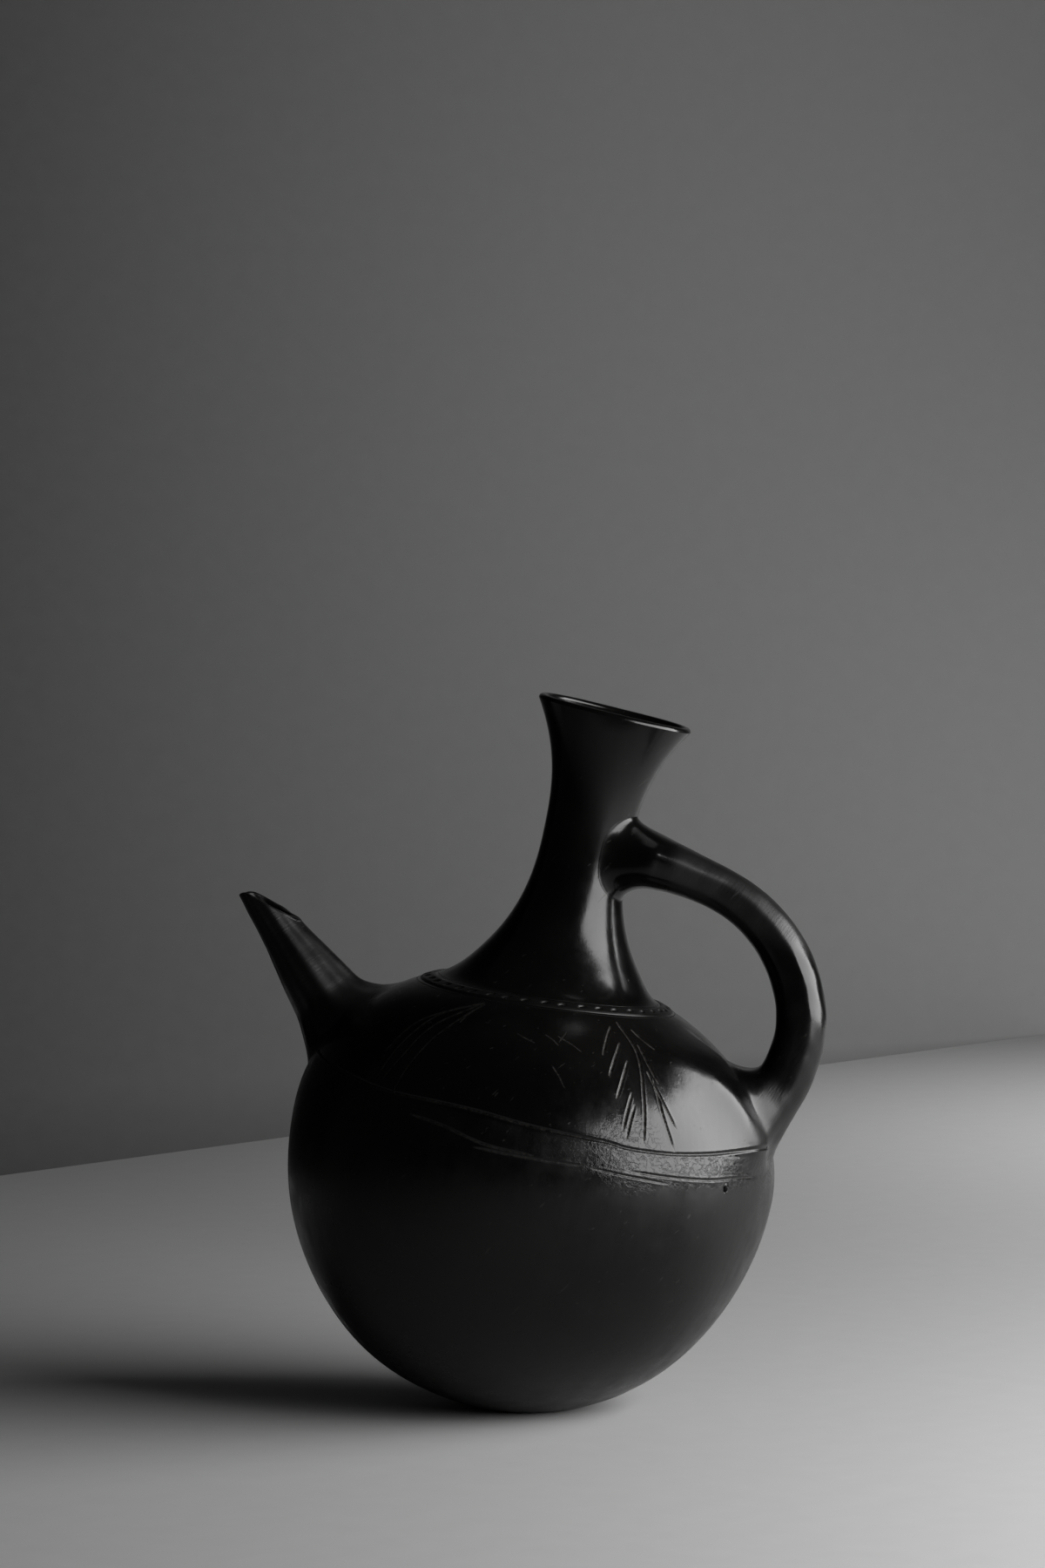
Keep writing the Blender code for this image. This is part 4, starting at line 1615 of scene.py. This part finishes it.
@dataclass(frozen=True)
class Handle:
    """The arched handle: a roll of clay, with a wad that seats each end."""

    ball: Ball
    neck: NeckAndMouth
    smear: Smear
    roll: tuple[tuple[float, float, float], ...] = (
        (10.0, 101.9, 11.4), (14.5, 101.8, 9.4), (20.0, 101.4, 8.2), (28.5, 100.2, 7.2),
        (40.0, 97.5, 6.7), (51.0, 92.7, 6.8), (61.0, 85.0, 7.2), (68.5, 74.8, 7.5),
        (72.6, 62.5, 7.7), (72.0, 50.0, 8.0), (69.0, 39.5, 8.7), (66.0, 33.0, 9.6),
    )
    ovals: tuple[tuple[float, float], ...] = (
        (20.0, 1.46), (28.5, 1.36), (40.0, 1.15), (51.0, 1.10), (80.0, 1.10),
    )
    squareness: float = 2.35
    ridge_turn: float = math.radians(64.0)
    ridge_width: float = math.radians(15.0)
    ridge_height: float = 0.035
    neck_end: float = 20.0 * MM
    shoulder_end: float = 47.0 * MM
    roll_steps: int = 26
    wad_rows: int = 40
    wad_leave: float = 0.9
    neck_seat_level: float = 100.6 * MM
    neck_seat_half: float = 13.2 * MM
    neck_seat_turn: float = math.radians(60.0)
    neck_seat_round: float = 0.75
    shoulder_seat_level: float = 33.9 * MM
    shoulder_seat_half: float = 14.9 * MM
    shoulder_seat_side: float = 16.5 * MM
    shoulder_seat_middle: tuple[float, float, float] = (65.0 * MM, 0.0, 34.5 * MM)
    crease: tuple[float, float] = (math.radians(10.0), math.radians(55.0))
    steps: int = 112

    def turns(self) -> np.ndarray:
        """Angles round the roll, from its outer side towards the front."""
        return np.linspace(0.0, 2.0 * math.pi, self.steps, endpoint=False)

    def rings(self) -> np.ndarray:
        """Lay rings along the free part of the roll.

        Returns:
            The points, as (rings, columns, 3).
        """
        line = spline(np.array(self.roll) * MM, self.roll_steps)
        along = unit(np.gradient(line[:, :2], axis=0))
        free = (line[:, 0] >= self.neck_end) & (line[:, 1] >= self.shoulder_end)
        turn = self.turns()
        return np.array([self.section(p, d, turn) for p, d in zip(line[free], along[free])])

    def section(self, point: np.ndarray, along: np.ndarray, turn: np.ndarray) -> np.ndarray:
        """One ring of the roll: a rounded square with a soft ridge along its front and back.

        Args:
            point: Place and radius of the roll.
            along: Direction of the roll there.
            turn: Angles round it.

        Returns:
            The points.
        """
        cos, sin = np.cos(turn), np.sin(turn)
        power = self.squareness
        radius = (np.abs(cos) ** power + np.abs(sin) ** power) ** (-1.0 / power)
        bend = np.minimum(turn, 2.0 * math.pi - turn)
        radius *= 1.0 + self.ridge_height * np.exp(-(((bend - self.ridge_turn) / self.ridge_width) ** 2))
        outward = np.array([-along[1], 0.0, along[0]])
        middle = np.array([point[0], 0.0, point[1]])
        wide = spline(np.array(self.ovals), 8)
        side = np.array([0.0, -np.interp(point[0] / MM, wide[:, 0], wide[:, 1]), 0.0])
        return middle + point[2] * radius[:, None] * (
            np.multiply.outer(cos, outward) + np.multiply.outer(sin, side)
        )

    def build(self, shop: Modeller, finish: ClayFinish) -> None:
        """Build the roll and its two wads.

        Args:
            shop: The modeller.
            finish: The finish.
        """
        rings = self.rings()
        upper, lower = self.roll_end(rings[0], rings[1]), self.roll_end(rings[-1], rings[-2])
        rows = np.concatenate([upper.cap[None], rings, lower.cap[None]])
        shop.place(shop.wrapped("handle_arch", rows), finish, "handle")
        rows = self.wad(upper, self.neck_seat())
        shop.place(shop.wrapped("handle_neck_wad", rows), finish, "handle_neck_pad")
        rows = self.wad(lower, self.shoulder_seat())
        shop.place(shop.wrapped("handle_shoulder_wad", rows), finish, "handle_shoulder_pad")

    def roll_end(self, ring: np.ndarray, before: np.ndarray) -> RollEnd:
        """The end of the roll at its last ring."""
        return RollEnd(ring, unit(ring - before), np.repeat(ring.mean(axis=0)[None], self.steps, axis=0))

    def neck_seat(self) -> Seat:
        """Lay the upper seat on the neck: with a crease above, running out softly below.

        Returns:
            The seat.
        """
        turn = self.turns()
        cos, sin = np.cos(turn), np.sin(turn)
        upward = np.sign(cos) * np.abs(cos) ** self.neck_seat_round
        sideways = np.sign(sin) * np.abs(sin) ** self.neck_seat_round
        level = self.neck_seat_level + self.neck_seat_half * upward
        round_neck = -self.neck_seat_turn * sideways
        out = np.stack([np.zeros(self.steps), -sin, cos], axis=1)
        pull = 0.55 + 0.55 * smooth_step(np.minimum(turn, 2.0 * math.pi - turn), *self.crease)
        return Seat(self.neck.place(round_neck, level), self.neck.normal(round_neck, level), out, pull)

    def shoulder_seat(self) -> Seat:
        """Lay the lower seat on the shoulder, over the smear.

        Returns:
            The seat.
        """
        cos, sin = np.cos(self.turns()), np.sin(self.turns())
        level = self.shoulder_seat_level - self.shoulder_seat_half * cos
        side = -self.shoulder_seat_side * sin
        ring = np.stack([np.sqrt(self.ball.radius_at(level) ** 2 - side**2), side, level], axis=1)
        normal = self.ball.normal(ring)
        ring = ring + normal * self.smear.height(ring)[:, None]
        out = unit(ring - np.array(self.shoulder_seat_middle))
        return Seat(ring, normal, out, pull=0.55 + 0.5 * (0.5 - 0.5 * cos))

    def wad(self, end: RollEnd, seat: Seat) -> np.ndarray:
        """Flare an end of the roll onto its seat.

        Args:
            end: The end of the roll.
            seat: The seat.

        Returns:
            Rows of the wad's closed skin, as (rows, columns, 3).
        """
        away = along_skin(seat.out, seat.normal)
        chord = np.linalg.norm(seat.ring - end.ring, axis=1, keepdims=True)
        leave, land = end.leave * chord * self.wad_leave, away * chord * seat.pull[:, None]
        skirt = bridge(end.ring, leave, seat.ring, land, self.wad_rows)
        sunk = sunk_edge(seat.ring, away, seat.normal)
        middle = np.repeat(sunk[-1].mean(axis=0)[None], self.steps, axis=0)
        return np.concatenate([end.cap[None], skirt, sunk, middle[None]])


@dataclass(frozen=True)
class Studio:
    """The table, the wall behind it, the light and the camera. The wall's colour holds painted shade,
    darker towards its left end.
    """

    table_grey: float = 0.30
    table_size: float = 6.0
    table_place: tuple[float, float, float] = (2.52, -0.49, -0.1 * MM)
    table_turn: float = math.radians(62.3)
    wall_grey: float = 0.34
    # Painted shade: the wall's colour is darkened towards its left end, standing in for less light falling
    # there.
    wall_painted_shade: float = 0.92
    wall_reach: float = 1.30
    painted_shade_reach: tuple[float, float] = (-0.75, 0.25)
    plane_grain: float = 0.07
    plane_rough: float = 0.8
    room_grey: float = 0.02
    window_azimuth: float = math.radians(82.0)
    window_rise: float = math.radians(19.0)
    window_reach: float = 0.62
    window_size: tuple[float, float] = (0.83, 0.45)
    window_power: float = 13.6
    far_place: tuple[float, float, float] = (0.42, 0.85, 0.80)
    far_size: float = 0.5
    far_spread: float = math.radians(80.0)
    far_power: float = 3.0
    aim: tuple[float, float, float] = (0.0, 0.0, 0.09)
    camera_place: tuple[float, float, float] = (0.2305, -1.3139, 0.232)
    camera_turn: tuple[float, float, float] = (math.radians(88.24), 0.0, math.radians(10.0))
    lens: float = 100.0

    def build(self) -> None:
        """Build everything round the pot."""
        turn = self.camera_turn[2]
        behind = (-math.sin(turn) * self.wall_reach, math.cos(turn) * self.wall_reach, 0.0)
        self.build_plane("table", self.table_grey, 0.0, self.table_place, (0.0, 0.0, self.table_turn))
        self.build_plane("wall", self.wall_grey, self.wall_painted_shade, behind, (math.pi / 2.0, 0.0, turn))
        self.build_room()
        self.build_window()
        self.build_far_lamp()
        self.build_camera()

    def build_plane(self, name: str, grey: float, left_painted_shade: float, place: tuple, turn: tuple) -> None:
        """A plain surface with a faint grain, and painted shade that darkens it towards its left end.

        Args:
            name: Its name.
            grey: Its colour.
            left_painted_shade: How much painted shade darkens it towards its left end.
            place: Its middle.
            turn: Its rotation.
        """
        bpy.ops.object.select_all(action="DESELECT")
        bpy.ops.mesh.primitive_plane_add(size=self.table_size, location=place, rotation=turn)
        plane = bpy.context.object
        plane.name = name
        material = bpy.data.materials.new(name + "_top")
        material.use_nodes = True
        graph = Graph(material.node_tree)
        shader = graph.tree.nodes["Principled BSDF"]
        spot = graph.node("TexCoord").outputs["Object"]
        grain = graph.noise(spot, scale=90.0) * self.plane_grain
        across = Term(graph, graph.node("SeparateXYZ", Vector=spot).outputs[0])
        # Painted shade: the colour darkens towards the plane's left end.
        shade = (1.0 - graph.ramp(across, *self.painted_shade_reach)) * left_painted_shade
        pale = (grey,) * 3 + (1.0,)
        graph.feed(shader.inputs["Base Color"], graph.blend(grain + shade, pale, (0.0, 0.0, 0.0, 1.0)))
        shader.inputs["Roughness"].default_value = self.plane_rough
        plane.data.materials.append(material)

    def build_room(self) -> None:
        """A plain, dark room."""
        world = bpy.data.worlds.new("room")
        world.use_nodes = True
        bpy.context.scene.world = world
        world.node_tree.nodes["Background"].inputs["Color"].default_value = (self.room_grey,) * 3 + (1.0,)

    def build_window(self) -> None:
        """A soft light like a window, at the right, facing the pot."""
        turn, tilt = self.window_azimuth, self.window_rise
        out = np.array([math.sin(turn) * math.cos(tilt), -math.cos(turn) * math.cos(tilt), math.sin(tilt)])
        bpy.ops.object.light_add(
            type="AREA",
            location=np.array(self.aim) + out * self.window_reach,
            rotation=(math.pi / 2.0 - tilt, 0.0, turn),
        )
        lamp = bpy.context.object
        lamp.data.shape = "RECTANGLE"
        lamp.data.size, lamp.data.size_y = self.window_size
        lamp.data.energy = self.window_power
        lamp.visible_camera = False

    def build_far_lamp(self) -> None:
        """A soft light over the far end of the table, which doesn't reach the pot."""
        bpy.ops.object.light_add(type="AREA", location=self.far_place)
        lamp = bpy.context.object
        lamp.data.size = self.far_size
        lamp.data.spread = self.far_spread
        lamp.data.energy = self.far_power
        lamp.visible_camera = False

    def build_camera(self) -> None:
        """The camera at the photograph's viewing angle."""
        bpy.ops.object.camera_add(location=self.camera_place, rotation=self.camera_turn)
        camera = bpy.context.object
        camera.data.lens = self.lens
        bpy.context.scene.camera = camera


def main() -> None:
    """Build the pot piece by piece, and the studio round it."""
    logging.basicConfig(level=logging.INFO, format="%(message)s")
    bpy.context.scene.view_settings.view_transform = "Standard"
    shop = Modeller(RestPose(), HandWobble())
    burnished = ClayFinish()
    notched = ClayFinish(slot=Slot.NOTCHED, matt=0.50, gloss=0.36)
    ball = Ball()
    spout = Spout(ball)
    neck = NeckAndMouth(ball)
    smear = Smear(ball)
    BallBody(ball, smear).build(shop, burnished, spout)
    neck.build(shop, burnished, notched)
    spout.build(shop, burnished)
    Handle(ball, neck, smear).build(shop, burnished)
    Studio().build()


if __name__ == "__main__":
    main()
